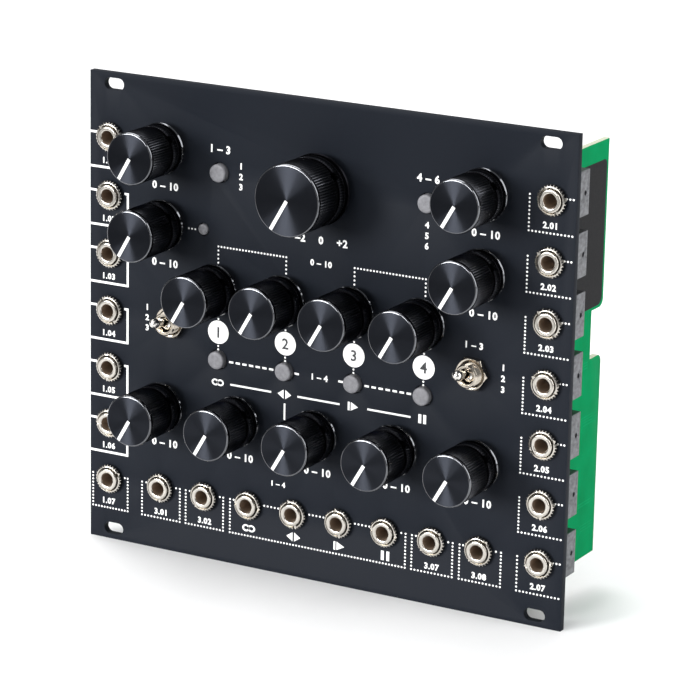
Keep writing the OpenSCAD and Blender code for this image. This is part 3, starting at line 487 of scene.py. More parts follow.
# Jacks, front: a turned and threaded nickel bush through each hole, held by a thin round nut with a straight
# knurl round its rim and two spanner slots across its face.
def turned(name, rows, columns, loop=False):
    """A turned mesh of (height, radius) rows, a radius one number or one per column. UV: turn and length."""
    merge_m, smooth_deg, uv_per_mm, closing_mm = 1e-7, 32, 0.05, 0.5
    turn = np.arange(columns) * 2 * math.pi / columns
    radius = np.array([np.broadcast_to(np.asarray(r, float), columns) for _, r in rows])
    height = np.array([h for h, _ in rows], float)
    along = np.concatenate([[0], np.cumsum(np.hypot(np.diff(height), np.diff(radius.mean(1))))])
    depth = np.repeat(PANEL_FRONT - height[:, None], columns, 1)
    points = np.stack([radius * np.cos(turn), depth, radius * np.sin(turn)], 2)
    faces, corners = [], []
    count = len(rows)
    for i in range(count if loop else count - 1):
        n = (i + 1) % count
        v, w = along[i] * uv_per_mm, (along[n] if n else along[i] + closing_mm) * uv_per_mm
        for j in range(columns):
            k = (j + 1) % columns
            faces.append((i * columns + j, i * columns + k, n * columns + k, n * columns + j))
            corners += [(j / columns, v), ((j + 1) / columns, v), ((j + 1) / columns, w), (j / columns, w)]
    mesh = bpy.data.meshes.new(name)
    mesh.from_pydata((points.reshape(-1, 3) * MM).tolist(), [], faces)
    mesh.uv_layers.new(name="turn").data.foreach_set("uv", np.ravel(corners))
    shape = bmesh.new()
    shape.from_mesh(mesh)
    bmesh.ops.remove_doubles(shape, verts=shape.verts, dist=merge_m)
    bmesh.ops.recalc_face_normals(shape, faces=shape.faces)
    shape.to_mesh(mesh)
    shape.free()
    return smoothed(mesh, smooth_deg)


def block_mesh(name, low, high, turn=0.0):
    """A block over the panel, right, up and out, turned about the axis that stands on the panel."""
    shape = bmesh.new()
    bmesh.ops.create_cube(shape, size=1)
    for v in shape.verts:
        x, up, out = [low[i] + (v.co[i] + 0.5) * (high[i] - low[i]) for i in range(3)]
        c, s = math.cos(turn), math.sin(turn)
        v.co = on_panel(c * x - s * up, s * x + c * up, out)
    bmesh.ops.recalc_face_normals(shape, faces=shape.faces)
    return meshed(name, shape)


def cut_away(mesh, cutters, smooth_deg=32):
    """The mesh less its cutters, as a new plain mesh."""
    body = shown("body", mesh)
    tools = [shown("tool", c) for c in cutters]
    for tool in tools:
        cut = body.modifiers.new("cut", "BOOLEAN")
        cut.operation, cut.solver, cut.object = "DIFFERENCE", "EXACT", tool
    made = evaluated(body)
    for o in (body, *tools):
        bpy.data.objects.remove(o)
    return smoothed(made, smooth_deg)


# One template at every point, turned about the axis that stands on the panel by the point's own angle.
at_places, given, stamp = stamping_tree("at_places")
own_turn = node(at_places, "GeometryNodeInputNamedAttribute", {"Name": "turn"}, data_type="FLOAT")
about_y = node(at_places, "ShaderNodeCombineXYZ")
wire(at_places, (own_turn.outputs[0], about_y.inputs["Y"]), (about_y.outputs[0], stamp.inputs["Rotation"]),
     (given.outputs["Geometry"], stamp.inputs["Points"]))


def placed(name, mesh, places, finish, turns=None):
    """One piece of like shapes: a mesh put at each place, in millimetres, and turned there by its angle."""
    points = bpy.data.meshes.new(name)
    points.from_pydata((np.array(places, float) * MM).tolist(), [], [])
    angle = points.attributes.new("turn", "FLOAT", "POINT")
    angle.data.foreach_set("value", np.zeros(len(places)) if turns is None else np.array(turns, float))
    return grown(shown(name, points), at_places, mesh, finish)


def brushed(name, colour, rough, bump_mm, anisotropy=0.0, metallic=1.0, **values):
    """Turned or plated metal: fine rings along the turned length, and a soft unevenness in gloss."""
    made, tree, principled = shader(name, Base_Color=(*colour, 1), Metallic=metallic, Anisotropic=anisotropy,
                                    **values)
    uv = node(tree, "ShaderNodeUVMap", uv_map="turn")
    stretch = node(tree, "ShaderNodeMapping", {"Scale": (6, 900, 1)})
    rings = node(tree, "ShaderNodeTexNoise", {"Scale": 1.0, "Detail": 3.0})
    gloss = node(tree, "ShaderNodeMapRange", {"To Min": rough[0], "To Max": rough[1]})
    bump = node(tree, "ShaderNodeBump", {"Distance": bump_mm * MM})
    wire(tree, (uv.outputs[0], stretch.inputs["Vector"]), (stretch.outputs[0], rings.inputs["Vector"]),
         (rings.outputs[0], gloss.inputs[0]), (gloss.outputs[0], principled.inputs["Roughness"]),
         (rings.outputs[0], bump.inputs["Height"]), (bump.outputs[0], principled.inputs["Normal"]))
    if anisotropy:
        tangent = node(tree, "ShaderNodeTangent", direction_type="UV_MAP", uv_map="turn")
        wire(tree, (tangent.outputs[0], principled.inputs["Tangent"]))
    return made


jack_places = [(side * jack_x, 0, c - 0.2) for side in (-1, 1) for c in box_c]
jack_places += [(x, 0, jack_row_z) for x in row_jack_x]
nickel = brushed("jack_nickel", (0.56, 0.53, 0.48), (0.1, 0.2), 0.0002)
bore_metal = brushed("jack_bore", (0.27, 0.2, 0.145), (0.4, 0.52), 0.0005, metallic=0.35)
tooth_count, tooth_depth = 28, 0.4
tooth = np.tile([1.0, 0.7, 0.0, 0.0, 0.7], tooth_count)
teeth = nut_r + 0.05 - tooth_depth * tooth
nut_rows = [(0.0, teeth - 0.15), (0.14, teeth), (1.12, teeth), (1.34, np.minimum(teeth, 3.72)), (1.46, 3.56),
            (1.5, 3.48), (1.5, 3.34), (1.46, 3.28), (1.0, 3.06), (0.0, 3.06)]
spanner_slot = block_mesh("slot", (-5, -0.5, 1.05), (5, 0.5, 2.0), math.radians(45))
nut_mesh = cut_away(turned("nut", nut_rows, len(tooth), loop=True), [spanner_slot])
nut_turns = np.random.default_rng(3).uniform(0, math.pi, len(jack_places))
nuts = placed("jack_round_nuts", nut_mesh, jack_places, nickel, nut_turns)
bore_r = 1.8
bush_rows = [(-5.0, bore_r), (1.66, bore_r), (1.8, 1.84), (1.9, 1.92), (1.97, 2.04), (2.0, 2.2), (2.0, 2.62),
             (1.97, 2.76), (1.9, 2.87), (1.8, 2.93), (1.66, 2.96), (1.5, 2.8), (0.9, 2.8), (0.8, 2.86),
             (-2.0, 2.86), (-2.0, 3.0), (-5.0, 3.0)]
bushes = placed("jack_threaded_bushes", turned("bush", bush_rows, 48, loop=True), jack_places, nickel)
bushes.data.materials.append(bore_metal)
axes = np.array(jack_places)[:, [0, 2]] * MM
for f in bushes.data.polygons:
    from_axis = np.hypot(*(axes - (f.center.x, f.center.z)).T).min()
    f.material_index = int(from_axis < (bore_r + 0.02) * MM)
fixed(nuts, "nickel", "jack_nuts")
fixed(bushes, "nickel", "jack_bushes")

# Toggles: a threaded nickel bush with a chamfered hexagonal nut, and a polished bat lever with a round end
# that swings on a ball inside the bush.
toggle_x, toggle_z, nut_columns, nut_flat = 44.65, -0.25, 96, 4.0
toggle_places = [(shift + side * toggle_x, 0, toggle_z) for side in (-1, 1)]
corner = np.arange(nut_columns) * 2 * math.pi / nut_columns
flats = nut_flat / np.cos((corner + corner[1]) % (math.pi / 3) - math.pi / 6)
hex_rows = [(0.0, np.minimum(flats, 4.3)), (0.16, np.minimum(flats, 4.5)), (0.26, flats), (1.45, flats)]
hex_rows += [(1.45 + 0.09 * i, np.minimum(flats, 4.62 - 0.12 * i)) for i in range(1, 6)]
hex_rows += [(1.9, 3.5), (1.84, 3.4), (1.7, 3.18), (0.0, 3.18)]
warm_nickel = brushed("toggle_nickel", (0.54, 0.49, 0.42), (0.1, 0.2), 0.0002)
hex_nut = turned("hex_nut", hex_rows, nut_columns, loop=True)
toggle_nuts = placed("toggle_hex_nuts", hex_nut, toggle_places, warm_nickel)
thread = [(-2.0, 3.15), (1.6, 3.15)]
for i in range(5):
    z = 1.7 + 0.5 * i
    thread += [(z, 2.94), (z + 0.08, 2.94), (z + 0.25, 3.15), (z + 0.33, 3.15)]
thread += [(4.25, 2.96), (4.4, 2.8), (4.4, 2.5), (4.3, 2.38), (4.0, 2.32), (4.0, 2.15), (-2.0, 2.15)]
toggle_bush = turned("toggle_bush", thread, 64, loop=True)
toggle_bushes = placed("toggle_threaded_bushes", toggle_bush, toggle_places, warm_nickel)
fixed(toggle_nuts, "nickel", "toggle_nuts")
fixed(toggle_bushes, "nickel", "toggle_bushes")
lever_rows = [(-5.2, 0), (-5.2, 0.8), (-5.05, 0.95), (-1.9, 0.95)]
lever_rows += [(2.1 * math.sin(a), 2.1 * math.cos(a)) for a in np.linspace(-1.1, 1.1, 13)]
lever_rows += [(1.95, 0.95), (2.4, 0.95), (6.4, 1.27), (7.2, 1.34)]
lever_rows += [(7.45 + 1.35 * math.sin(a), 1.35 * math.cos(a)) for a in np.linspace(0, math.pi / 2, 9)]
lever_chrome = brushed("lever_polish", (0.70, 0.68, 0.65), (0.06, 0.14), 0.0002)
pivot_z, tilt = 1.6, math.radians(11)
off_panel = Matrix.Translation(-on_panel(0, 0, 0))
for side, (x, _, up) in zip(("left", "right"), toggle_places):
    mesh = turned(f"{side}_lever", lever_rows, 40)
    mesh.transform(Matrix.Translation(on_panel(x, up, pivot_z)) @ Matrix.Rotation(-tilt, 4, "X") @ off_panel)
    lever = finished(f"{side}_bat_lever", mesh, lever_chrome)
    fixed(lever, "nickel", f"{side}_toggle_lever", body=f"{side}_toggle")

# Push buttons and level lamp: frosted translucent plastic, moulded with a soft edge, in plain round holes.
# Each cap has a collar behind the panel and a stem that stands in its switch.
frost_depth = 0.6 * MM
frost = grained("frosted_plastic", (0.13, 0.13, 0.142), (0.2, 0.2, 0.214), 0.9, (0.42, 0.6), 0.012,
                Subsurface_Weight=0.15, Subsurface_Radius=(frost_depth,) * 3, Subsurface_Scale=1.0)
top, cap_r, top_button_z, head_button_z = 1.5, 2.4, 41.7, -8.55
cap_rows = [(-10.0, 0), (-10.0, 1.4), (-7.3, 1.4), (-7.3, cap_r), (-3.3, cap_r), (-3.3, 3.0), (-2.3, 3.0),
            (-2.3, cap_r), (top - 0.5, cap_r), (top - 0.34, 2.38), (top - 0.2, 2.31), (top - 0.1, 2.2),
            (top - 0.03, 2.04), (top, 1.8), (top - 0.02, 1.2), (top - 0.03, 0)]
cap_mesh = turned("cap", cap_rows, 48)
buttons = {"mode_button": (head_x[0], top_button_z), "tap_button": (head_x[3], top_button_z)}
buttons.update({f"head_{i + 1}_button": (x, head_button_z) for i, x in enumerate(head_x)})
for name, (x, up) in buttons.items():
    mesh = cap_mesh.copy()
    mesh.transform(Matrix.Translation((x * MM, 0, up * MM)))
    fixed(finished(f"{name}_cap", mesh, frost), "frosted_cap", name, body=name)
lens_x, lens_z = shift - 35.3, 25.95
lens_rows = [(-5.0, 0), (-5.0, 1.85), (-4.0, 1.85), (-4.0, 1.45), (0.15, 1.45), (0.28, 1.38), (0.38, 1.22),
             (0.46, 0.9), (0.5, 0.45), (0.5, 0)]
leads = [block_mesh("lead", (x - 0.25, -0.25, -11.6), (x + 0.25, 0.25, -5.0)) for x in (-0.8, 0.8)]
lens_mesh = joined("lens", [turned("lens", lens_rows, 40), *leads])
lens_mesh.transform(Matrix.Translation((lens_x * MM, 0, lens_z * MM)))
fixed(finished("lamp_lens_piece", lens_mesh, frost), "lamp_lens", "level_lamp")

# Knobs: solid aluminium, turned with a smooth land, two straight knurls and a groove, the face spun in
# fine rings and the end edges rounded and polished; then bored, milled for a white-filled pointer, drilled
# for the set screw that holds it on the pot's shaft, and dyed black.
dye = (0.2, 0.2, 0.22, 1)
anodised = brushed("black_anodised_side", (0.012, 0.012, 0.0145), (0.3, 0.4), 0.002, Specular_Tint=dye)
knurled = brushed("black_anodised_knurl", (0.1, 0.103, 0.114), (0.24, 0.32), 0.0006, Specular_Tint=dye)
rim_cut = brushed("black_anodised_rim", (0.15, 0.154, 0.165), (0.08, 0.12), 0.0002)
spun = brushed("black_anodised_face", (0.0195, 0.0213, 0.0262), (0.31, 0.35), 0.0015, anisotropy=1.0,
               Anisotropic_Rotation=0.25, Specular_Tint=dye)
pointer_white = grained("pointer_fill", (0.78, 0.78, 0.77), (0.86, 0.86, 0.85), 0.3, (0.4, 0.5), 0.004)
screw_steel = grained("set_screw_steel", (0.05, 0.05, 0.055), (0.09, 0.09, 0.1), 0.4, (0.3, 0.45), 0.006,
                      Metallic=1.0)
side_slot, face_slot, rim_slot, fill_slot, knurl_slot = range(5)
knob_finishes = (anodised, spun, rim_cut, pointer_white, knurled)
pointer_turn, pointer_half, pointer_deep = math.radians(240), 0.475, 0.15
grub_turn, grub_z, grub_r, grub_in = math.radians(35), 7.35, 1.25, 3.6
grub_axis = (Matrix.Translation(on_panel(0, 0, grub_z)) @ Matrix.Rotation(-grub_turn, 4, "Y")
             @ Matrix.Rotation(math.pi / 2, 4, "Z"))


def knob_mesh(name, r, face, count):
    """A knob of that radius whose face stands that far out, with that many ridges, its axis on the origin."""
    ridge = np.tile([1.0, 0.5, 0.0, 0.5], count)
    cut, valley, core = r - 0.1 - 0.34 * ridge, r - 0.44, r - 0.6
    rows = [(14.6, 0), (14.6, 3.03), (5.0, 3.03), (5.0, 3.9), (2.4, 3.9)]
    rows += [(2.4, r - 0.14), (2.44, r - 0.04), (2.54, r), (2.64, r), (2.96, r - 0.2), (3.04, r - 0.23),
             (4.44, r - 0.23), (4.5, r - 0.28), (4.5, valley), (4.66, cut), (6.64, cut), (6.8, valley),
             (6.8, core), (7.9, core), (7.9, valley), (8.06, cut), (face - 1.16, cut), (face - 1.0, valley),
             (face - 1.0, r - 0.05), (face - 0.95, r)]
    rows += [(face - 0.66 + 0.66 * math.cos(t), r - 0.42 + 0.42 * math.sin(t))
             for t in np.linspace(math.pi / 2, 0, 8)]
    rows += [(face, 0.75 * r), (face, 0.5 * r), (face, 0.25 * r), (face, 0)]
    whole = turned(name, rows, 4 * count)
    slot = block_mesh("slot", (0, -pointer_half, face - pointer_deep), (r + 1, pointer_half, face + 1),
                      pointer_turn)
    hole = turned("hole", [(0, 0), (0, grub_r), (r + 1, grub_r), (r + 1, 0)], 32)
    hole.transform(grub_axis @ off_panel)
    made = cut_away(whole, [slot, hole])
    shape = bmesh.new()
    shape.from_mesh(made)
    front, rear = (PANEL_FRONT - face) * MM, (PANEL_FRONT - 3.0) * MM
    has_lip = r < 8
    for f in shape.faces:
        at = f.calc_center_median()
        from_axis, out = math.hypot(at.x, at.z), PANEL_FRONT - at.y / MM
        on_lip = has_lip and at.y > rear and from_axis > (r - 0.3) * MM
        on_knurl = from_axis > (r - 0.45) * MM and (4.68 < out < 6.6 or 8.1 < out < face - 1.2)
        if at.y < front + 1e-6:
            f.material_index = face_slot
        elif at.y < front + 0.66 * MM or on_lip:
            f.material_index = rim_slot
        else:
            f.material_index = knurl_slot if on_knurl else side_slot
        f.smooth = f.material_index != face_slot
    c, s = math.cos(pointer_turn), math.sin(pointer_turn)
    floor, level = face - pointer_deep, face - 0.02
    ends = [(0.03, floor), (0.03, level), (r - 0.44, level), (r - 0.33, floor)]
    sides = [[shape.verts.new(on_panel(c * x - s * w, s * x + c * w, out)) for x, out in ends]
             for w in (-0.46, 0.46)]
    fill = [shape.faces.new(sides[0]), shape.faces.new(sides[1])]
    for i in range(4):
        j = (i + 1) % 4
        fill.append(shape.faces.new((sides[0][i], sides[0][j], sides[1][j], sides[1][i])))
    bmesh.ops.recalc_face_normals(shape, faces=fill)
    for f in fill:
        f.material_index = fill_slot
    shape.to_mesh(made)
    shape.free()
    for finish in knob_finishes:
        made.materials.append(finish)
    return made


small_knob = knob_mesh("small_knob", 6.9, 17.8, 64)
large_knob = knob_mesh("large_knob", 9.4, 18.2, 80)
socket = 0.72 / np.cos((np.arange(24) * math.pi / 12 + math.pi / 6) % (math.pi / 3) - math.pi / 6)
grub_rows = [(0, 0), (0, 1.1), (0.1, 1.2), (1.85, 1.2), (2.0, 1.05), (2.0, socket), (0.9, socket), (0.7, 0)]
grub_mesh = turned("grub", grub_rows, 24)
grub_mesh.materials.append(screw_steel)
knob_joints = [joint for joint in frame["joints"] if joint["name"].endswith("_turn")]
for joint in knob_joints:
    name = joint["name"].removesuffix("_turn")
    place = Matrix.Translation((joint["pos_m"][0], 0, joint["pos_m"][2]))
    mesh = (large_knob if name == "speed" else small_knob).copy()
    mesh.transform(place)
    knob = shown(f"{name}_turned_knob", mesh)
    fixed(knob, "black_anodised", f"{name}_knob", body=f"{name}_control")
    mesh = grub_mesh.copy()
    mesh.transform(place @ grub_axis @ Matrix.Translation((0, -grub_in * MM, 0)) @ off_panel)
    fixed(shown(f"{name}_set_screw", mesh), body=f"{name}_control")


# Pots, toggle bodies and push switches behind the panel: pressed zinc-plated cans and black mouldings, which
# stand on the control board; the pots' bushes, nuts and turned shafts lie under the knobs.
def dressed(node_name, finish):
    """Gives a CAD piece that keeps its own shape a finish."""
    for slot in frame["nodes"][node_name].material_slots:
        slot.material = finish


def refined(node_name, name, bevel_mm, finish, slot, **values):
    """A CAD piece of the chassis with its edges broken, in a finish."""
    made = bevelled_copy(node_name, name, bevel_mm, **values)
    made.data.materials.append(finish)
    fixed(made, slot, node_name)
    return made


zinc = grained("zinc_plate", (0.42, 0.43, 0.45), (0.58, 0.59, 0.60), 1.6, (0.26, 0.42), 0.008, Metallic=1.0)
moulding = grained("black_moulding", (0.010, 0.010, 0.011), (0.020, 0.020, 0.022), 0.5, (0.38, 0.55), 0.010)
shaft_metal = grained("turned_shaft", (0.62, 0.62, 0.64), (0.74, 0.74, 0.76), 0.3, (0.22, 0.34), 0.004,
                      stretch=(1, 8, 1), Metallic=1.0)
plated = grained("bright_nickel", (0.66, 0.63, 0.57), (0.78, 0.75, 0.69), 0.6, (0.16, 0.28), 0.003,
                 Metallic=1.0)
refined("pot_housings", "pot_cans", 0.25, zinc, "zinc_steel")
refined("toggle_housings", "toggle_bodies", 0.3, moulding, "black_moulding")
refined("button_switches", "push_switches", 0.25, moulding, "black_moulding")
for name in frame["nodes"]:
    if name.endswith("_shaft"):
        dressed(name, shaft_metal)
dressed("pot_bushes", plated)
dressed("pot_nuts", plated)

# Jack bodies: black mouldings on the side boards and the control board, each side one closed by a pressed and
# tinned plate with a small round hole, rough from its dip.
refined("jack_housings", "jack_bodies", 0.25, moulding, "black_moulding")
tin = grained("dipped_tin", (0.065, 0.067, 0.072), (0.215, 0.22, 0.234), 1.5, (0.34, 0.55), 0.05,
              stretch=(1, 1, 1.6), detail=10.0, Metallic=0.75)
refined("jack_plates", "jack_side_plates", 0.07, tin, "tinned_steel")
bronze = grained("spring_bronze", (0.50, 0.33, 0.16), (0.62, 0.43, 0.22), 0.7, (0.28, 0.42), 0.005,
                 Metallic=1.0)
dressed("jack_contacts", bronze)

# Boards: glass laminate 1.6 mm thick, masked green on both faces, its sawn edges left pale. Two stand square
# to the panel and carry the side jacks, one carries the controls, and the last one the circuit.
mask = grained("green_mask", (0.0, 0.21, 0.069), (0.0008, 0.25, 0.086), 6.0, (0.45, 0.55), 0.004,
               Specular_IOR_Level=0.01)
laminate = grained("sawn_laminate", (0.42, 0.50, 0.34), (0.62, 0.62, 0.50), 0.35, (0.6, 0.8), 0.02)
for name, axis in (("left_jack_board", 0), ("right_jack_board", 0), ("control_board", 1), ("main_board", 1)):
    board = refined(name, name + "_laminate", 0.07, mask, "green_board", segments=1)
    board.data.materials.append(laminate)
    for f in board.data.polygons:
        f.material_index = 0 if abs(f.normal[axis]) > 0.9 else 1


def on_face(turn_deg, x, y):
    """Moves what is drawn on the panel's plane to a board's face: turned about Z and set there."""
    return Matrix.Translation((x * MM, y * MM, 0)) @ Matrix.Rotation(math.radians(turn_deg), 4, "Z")


def track_outlines(bundles, side, w=0.34):
    """Tracks side by side that step over at 45 degrees, drawn to the right, or to the left with side -1.

    Each bundle is its start, end, the step's place, first lane, step and count."""
    made, pitch, mitre = [], 0.75, 0.207
    for u0, u2, u1, v0, step, count in bundles:
        lean, kink = math.copysign(2 * mitre, step), math.copysign(mitre, step) * w
        for k in range(count):
            v, q = v0 + k * pitch, u1 - lean * k * pitch
            u, t = q + abs(step), v + step
            path = [(u0, v - w / 2), (q + kink, v - w / 2), (u + kink, t - w / 2), (u2, t - w / 2),
                    (u2, t + w / 2), (u - kink, t + w / 2), (q - kink, v + w / 2), (u0, v + w / 2)]
            made.append([(side * a, b) for a, b in path])
    return made


track = grained("masked_track", (0.0008, 0.25, 0.086), (0.003, 0.29, 0.105), 2.0, (0.45, 0.55), 0.003,
                Specular_IOR_Level=0.01)
solder = grained("solder", (0.52, 0.52, 0.53), (0.68, 0.68, 0.68), 0.5, (0.18, 0.34), 0.01, Metallic=1.0)
print_black = grained("black_print", (0.010, 0.010, 0.011), (0.018, 0.018, 0.019), 0.8, (0.5, 0.62), 0.004,
                      Specular_IOR_Level=0.06)
outer_x, inner_x, control_rear_y, rear_y = 61.5, 59.9, 11.2, 23.8
side_tracks = [(13, 35, 24, -52, 4, 3), (14, 34, 20, -38, -3, 2), (14.5, 35, 22, -24, 5, 4),
               (14, 28.5, 19, -6.5, 3, 3), (14, 35, 23, 30, -4, 3), (15, 34, 22, 42, 3, 2)]
main_tracks = [(-30, -22, -28, 28, 3, 6), (-7, 3, -4, 18, -3, 5), (-7, 3, -4, 5, 3, 5),
               (-34, -6, -25, -8, 4, 5), (-20, 12, -6, -22, 5, 6), (14, 36, 24, -20, 4, 4),
               (30, 52, 38, 8, -4, 6), (30, 52, 40, 22, 3, 4), (-54, -30, -44, 12, 3, 5),
               (-50, -28, -40, 33, -3, 3)]
track_meshes = []
for turn_deg, x, y, side, bundles in (
        (90, outer_x, 0, 1, side_tracks[:4]), (-90, -outer_x, 0, -1, side_tracks[:4]),
        (-90, inner_x, 0, -1, side_tracks), (90, -inner_x, 0, 1, side_tracks),
        (180, 0, rear_y, -1, main_tracks)):
    mesh = flat_mesh("tracks", track_outlines(bundles, side))
    mesh.transform(on_face(turn_deg, x, y))
    track_meshes.append(mesh)
fixed(finished("board_tracks", joined("board_tracks", track_meshes), track))
low_arc = [(33.2 + 2.2 * math.sin(a), 14.3 - 2.2 * math.cos(a)) for a in np.linspace(0, math.pi / 2, 8)]
high_arc = [(33.9 + 1.5 * math.cos(a), 48.8 + 1.5 * math.sin(a)) for a in np.linspace(0, math.pi / 2, 6)]
block_outline = [(6, 12.1)] + low_arc + high_arc + [(6, 50.3)]
block_print = flat_mesh("bare_black_block", [block_outline])
block_print.transform(on_face(90, outer_x, 0))
fixed(finished("bare_black_block", block_print, print_black))

# Soldered ends: small cones of solder with the wire's tip standing out, where each pin of a jack, pot,
# switch or connector comes through its board.
cone = [(-0.02, 0.62), (0.1, 0.5), (0.3, 0.3), (0.55, 0.26), (0.62, 0.18), (0.62, 0)]
cone_mesh = turned("cone", cone, 10)
spacer_x, spacer_z, spacer_room, pin_pitch = 53.4, 35.5, 4, 2.54
side_joints, control_joints = [], []
for x, _, up in jack_places[:14]:
    side_joints += [(math.copysign(1, x), y, up + d) for y, d in ((2.4, 0), (7.0, 4.4), (10.6, -4.4))]
for x, _, up in jack_places[14:]:
    control_joints += [(x + a, 0, up + b) for a, b in ((0, 4.4), (-2.6, -3.2), (2.6, -3.2))]
for joint in knob_joints:
    x, up = joint["pos_m"][0] / MM, joint["pos_m"][2] / MM
    control_joints += [(x + a, 0, up + b) for a, b in ((-2.5, -7), (0, -7), (2.5, -7), (-4.4, 0), (4.4, 0))]
for x, up in buttons.values():
    control_joints += [(x + a, 0, up + b) for a in (-3.25, 3.25) for b in (-2.25, 2.25)]
for x, _, up in toggle_places:
    control_joints += [(x, 0, up + b) for b in (-4.7, 0, 4.7)]
for up in (-41, 41):
    control_joints += [((i - 4.5) * pin_pitch, 0, up + r * pin_pitch) for i in range(10) for r in (-0.5, 0.5)]
control_joints = [(x, y, up) for x, y, up in control_joints
                  if abs(abs(x) - spacer_x) > spacer_room or abs(abs(up) - spacer_z) > spacer_room]
for name, turn_deg, x, y, places in (
        ("right_board_joints", -90, inner_x, 0, [(0, y, z) for side, y, z in side_joints if side > 0]),
        ("left_board_joints", 90, -inner_x, 0, [(0, y, z) for side, y, z in side_joints if side < 0]),
        ("control_board_joints", 180, 0, control_rear_y, control_joints)):
    mesh = cone_mesh.copy()
    mesh.transform(on_face(turn_deg, x, y) @ off_panel)
    fixed(placed(name, mesh, places, solder))

# Between the boards: turned hexagonal spacers with a pan-head screw at each end, and the strips of square
# pins and sockets that join the boards.
brass = grained("plated_brass", (0.60, 0.47, 0.22), (0.72, 0.58, 0.30), 0.8, (0.2, 0.36), 0.006, Metallic=1.0)
refined("board_spacers", "hex_spacers", 0.12, brass, "spacer_brass")
under_head, front_under_head = -25.8, -11.6
shank = [(-17.2, 0), (-17.2, 1.2), (-17.5, 1.48)]
shank += [(-17.7 - 0.25 * i, 1.48 if i % 2 else 1.3) for i in range(30)]
shank += [(-25.4, 1.4), (under_head, 1.5)]
head = [(under_head, 2.6), (-25.9, 2.73), (-26.6, 2.75), (-27.1, 2.6), (-27.45, 2.2), (-27.64, 1.5),
        (-27.7, 0.7), (-27.7, 0)]
recess = [block_mesh("recess", (-1.5, -0.3, -29), (1.5, 0.3, -26.7)),
          block_mesh("recess", (-0.3, -1.5, -29), (0.3, 1.5, -26.7))]
rear_screw = cut_away(turned("screw", shank + head, 32), recess)
front_screw = rear_screw.copy()
front_screw.transform(Matrix.Translation(on_panel(0, 0, front_under_head)) @ Matrix.Rotation(math.pi, 4, "Z")
                      @ Matrix.Translation(-on_panel(0, 0, under_head)))
screw_places = [(a * spacer_x, 0, b * spacer_z) for a in (-1, 1) for b in (-1, 1)]
rear_screws = placed("main_board_screws", rear_screw, screw_places, zinc, [0.3, 1.1, 0.7, 1.4])
front_screws = placed("control_board_screws", front_screw, screw_places, zinc, [0.9, 0.2, 1.2, 0.5])
fixed(rear_screws, "zinc_steel", "board_screws")
fixed(front_screws, "zinc_steel")
refined("connector_blocks", "pin_strips", 0.18, moulding, "black_moulding")
gold = grained("gold_flash", (0.66, 0.47, 0.16), (0.78, 0.58, 0.24), 0.5, (0.2, 0.32), 0.003, Metallic=1.0)
dressed("connector_pins", gold)

# Circuit on the main board's rear face: shrouded power header, flat packages with gull-wing legs, supply
# capacitors in aluminium cans, and small ceramic parts soldered by both ends.
refined("power_header", "power_shroud", 0.16, moulding, "black_moulding")
epoxy = grained("chip_epoxy", (0.014, 0.014, 0.015), (0.026, 0.026, 0.028), 0.35, (0.5, 0.68), 0.006)
packages = [(-18, 12, 20, 20, 0.5, 36, 4), (8, 12, 10.2, 18.4, 0.8, 22, 2), (24, 12, 10.2, 18.4, 0.8, 22, 2),
            (-38, -16, 7, 7, 0.5, 12, 4), (-24, -16, 7, 7, 0.5, 12, 4)]
taper = {1.5: 0.96, 1.4: 0.975, 0.75: 1.0, 0.2: 0.98, 0.0: 0.97}
shape = bmesh.new()
for x, up, w, l, *_ in packages:
    mesh = turned("package", [(0, 0), (0, 1), (0.2, 1), (0.75, 1), (1.4, 1), (1.5, 1), (1.5, 0)], 4)
    for v in mesh.vertices:
        h = round(-v.co.y / MM + PANEL_FRONT, 3)
        far = math.hypot(v.co.x, v.co.z) > 0.5 * MM
        quarter = round(math.atan2(v.co.z, v.co.x) / (math.pi / 2)) % 4
        sx, sz = ((1, 1), (-1, 1), (-1, -1), (1, -1))[quarter] if far else (0, 0)
        k = taper.get(h, 1.0)
        v.co = ((x + sx * w / 2 * k) * MM, (rear_y + h) * MM, (up + sz * l / 2 * k) * MM)
    shape.from_mesh(mesh)
bmesh.ops.recalc_face_normals(shape, faces=shape.faces)
break_edges(shape, 0.6, 0.07, 2)
dimples, dimple_in, dimple_floor = [], 1.4, 1.43
for x, up, w, l, *_ in packages:
    dimple = turned("dimple", [(0, 0), (0.0, 0.5), (2.0, 0.5), (2.0, 0)], 20)
    raised = Matrix.Translation((0, 0, (up + l / 2 - dimple_in) * MM))
    dimple.transform(on_face(180, x + w / 2 - dimple_in, rear_y + dimple_floor) @ raised @ off_panel)
    dimples.append(dimple)
package_mesh = cut_away(meshed("flat_packages", shape), dimples)
fixed(finished("flat_packages", package_mesh, epoxy), "chip_epoxy", "board_chips")
leg_side = [(-0.1, 0.82), (0.3, 0.82), (0.52, 0.17), (1.0, 0.15), (1.0, 0.0), (0.42, 0.0), (0.2, 0.67),
            (-0.1, 0.67)]
leg_verts = [(x * MM, (rear_y + h) * MM, w * MM) for w in (-0.11, 0.11) for x, h in leg_side]
leg_faces = [tuple(range(8)), tuple(range(15, 7, -1))]
leg_faces += [(i, i + 8, (i + 1) % 8 + 8, (i + 1) % 8) for i in range(8)]
leg_mesh = bpy.data.meshes.new("leg")
leg_mesh.from_pydata(leg_verts, [], leg_faces)
leg_places, leg_turns = [], []
for x, up, w, l, pitch, count, sides in packages:
    for i in range(count):
        d = (i - (count - 1) / 2) * pitch
        leg_places += [(x + w / 2, 0, up + d), (x - w / 2, 0, up + d)]
        leg_turns += [0, math.pi]
        if sides == 4:
            leg_places += [(x + d, 0, up + l / 2), (x + d, 0, up - l / 2)]
            leg_turns += [-math.pi / 2, math.pi / 2]
fixed(placed("package_legs", leg_mesh, leg_places, solder, leg_turns))
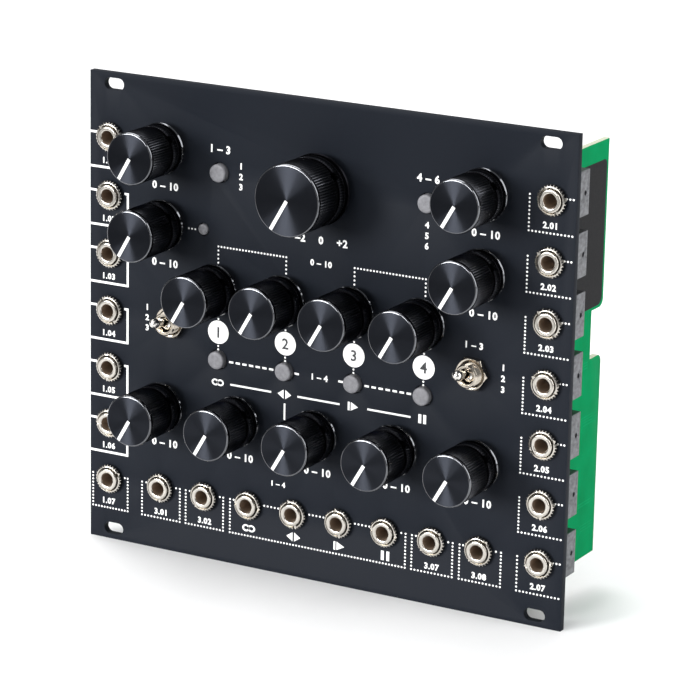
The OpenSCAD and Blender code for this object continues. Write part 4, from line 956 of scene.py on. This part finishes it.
can_rows = [(0.0, 0), (0.0, 3.0), (0.5, 3.0), (0.5, 3.15), (1.3, 3.15), (1.45, 3.02), (1.75, 3.02),
            (1.9, 3.15), (5.2, 3.15), (5.42, 3.08), (5.55, 2.9), (5.6, 2.65), (5.58, 1.2), (5.58, 0)]
can_mesh = turned("can", can_rows, 48)
can_mesh.transform(on_face(180, 0, rear_y) @ off_panel)
can_metal = brushed("can_aluminium", (0.72, 0.72, 0.74), (0.22, 0.34), 0.004)
fixed(placed("supply_cans", can_mesh, [(38.23, 0, -33), (45.53, 0, -33)], can_metal), "chip_epoxy")
small_count, small_pitch, small_room = 84, 1.27, 2.4
keep_out = [(x, up, w / 2 + small_room, l / 2 + small_room) for x, up, w, l, *_ in packages]
keep_out += [(24, -33, 11.5, 5.8), (42, -33, 8.5, 4.5), (0, 41, 14, 4), (0, -41, 14, 4)]
keep_out += [(x, up, 5, 5) for x, _, up in screw_places]
rng = np.random.default_rng(7)
small = []
while len(small) < small_count:
    x, up = rng.uniform(-54, 54), rng.uniform(-45, 45)
    x, up = round(x / small_pitch) * small_pitch, round(up / small_pitch) * small_pitch
    taken = keep_out + [(a, b, small_room, small_room) for a, b in small]
    if all(abs(x - a) > w or abs(up - b) > h for a, b, w, h in taken):
        small.append((x, up))
small_turns = rng.integers(0, 2, len(small)) * math.pi / 2


def chip_part(name, low_x, high_x, w, h):
    """A small block on the main board's rear face with broken edges."""
    part = bmesh.new()
    bmesh.ops.create_cube(part, size=1)
    for v in part.verts:
        x, y = low_x + (v.co.x + 0.5) * (high_x - low_x), rear_y + (v.co.y + 0.5) * h
        v.co = (x * MM, y * MM, v.co.z * w * MM)
    bmesh.ops.bevel(part, geom=list(part.edges), offset=0.05 * MM, segments=1, affect="EDGES")
    return meshed(name, part)


ceramic = grained("ceramic", (0.22, 0.14, 0.08), (0.30, 0.20, 0.12), 0.5, (0.4, 0.55), 0.004)
small_places = [(x, 0, up) for x, up in small]
core_mesh = chip_part("core", -0.5, 0.5, 0.8, 0.58)
end_mesh = joined("ends", [chip_part("end", x, x + 0.3, 0.84, 0.62) for x in (-0.8, 0.5)])
fixed(placed("ceramic_parts", core_mesh, small_places, ceramic, small_turns))
fixed(placed("ceramic_ends", end_mesh, small_places, solder, small_turns))
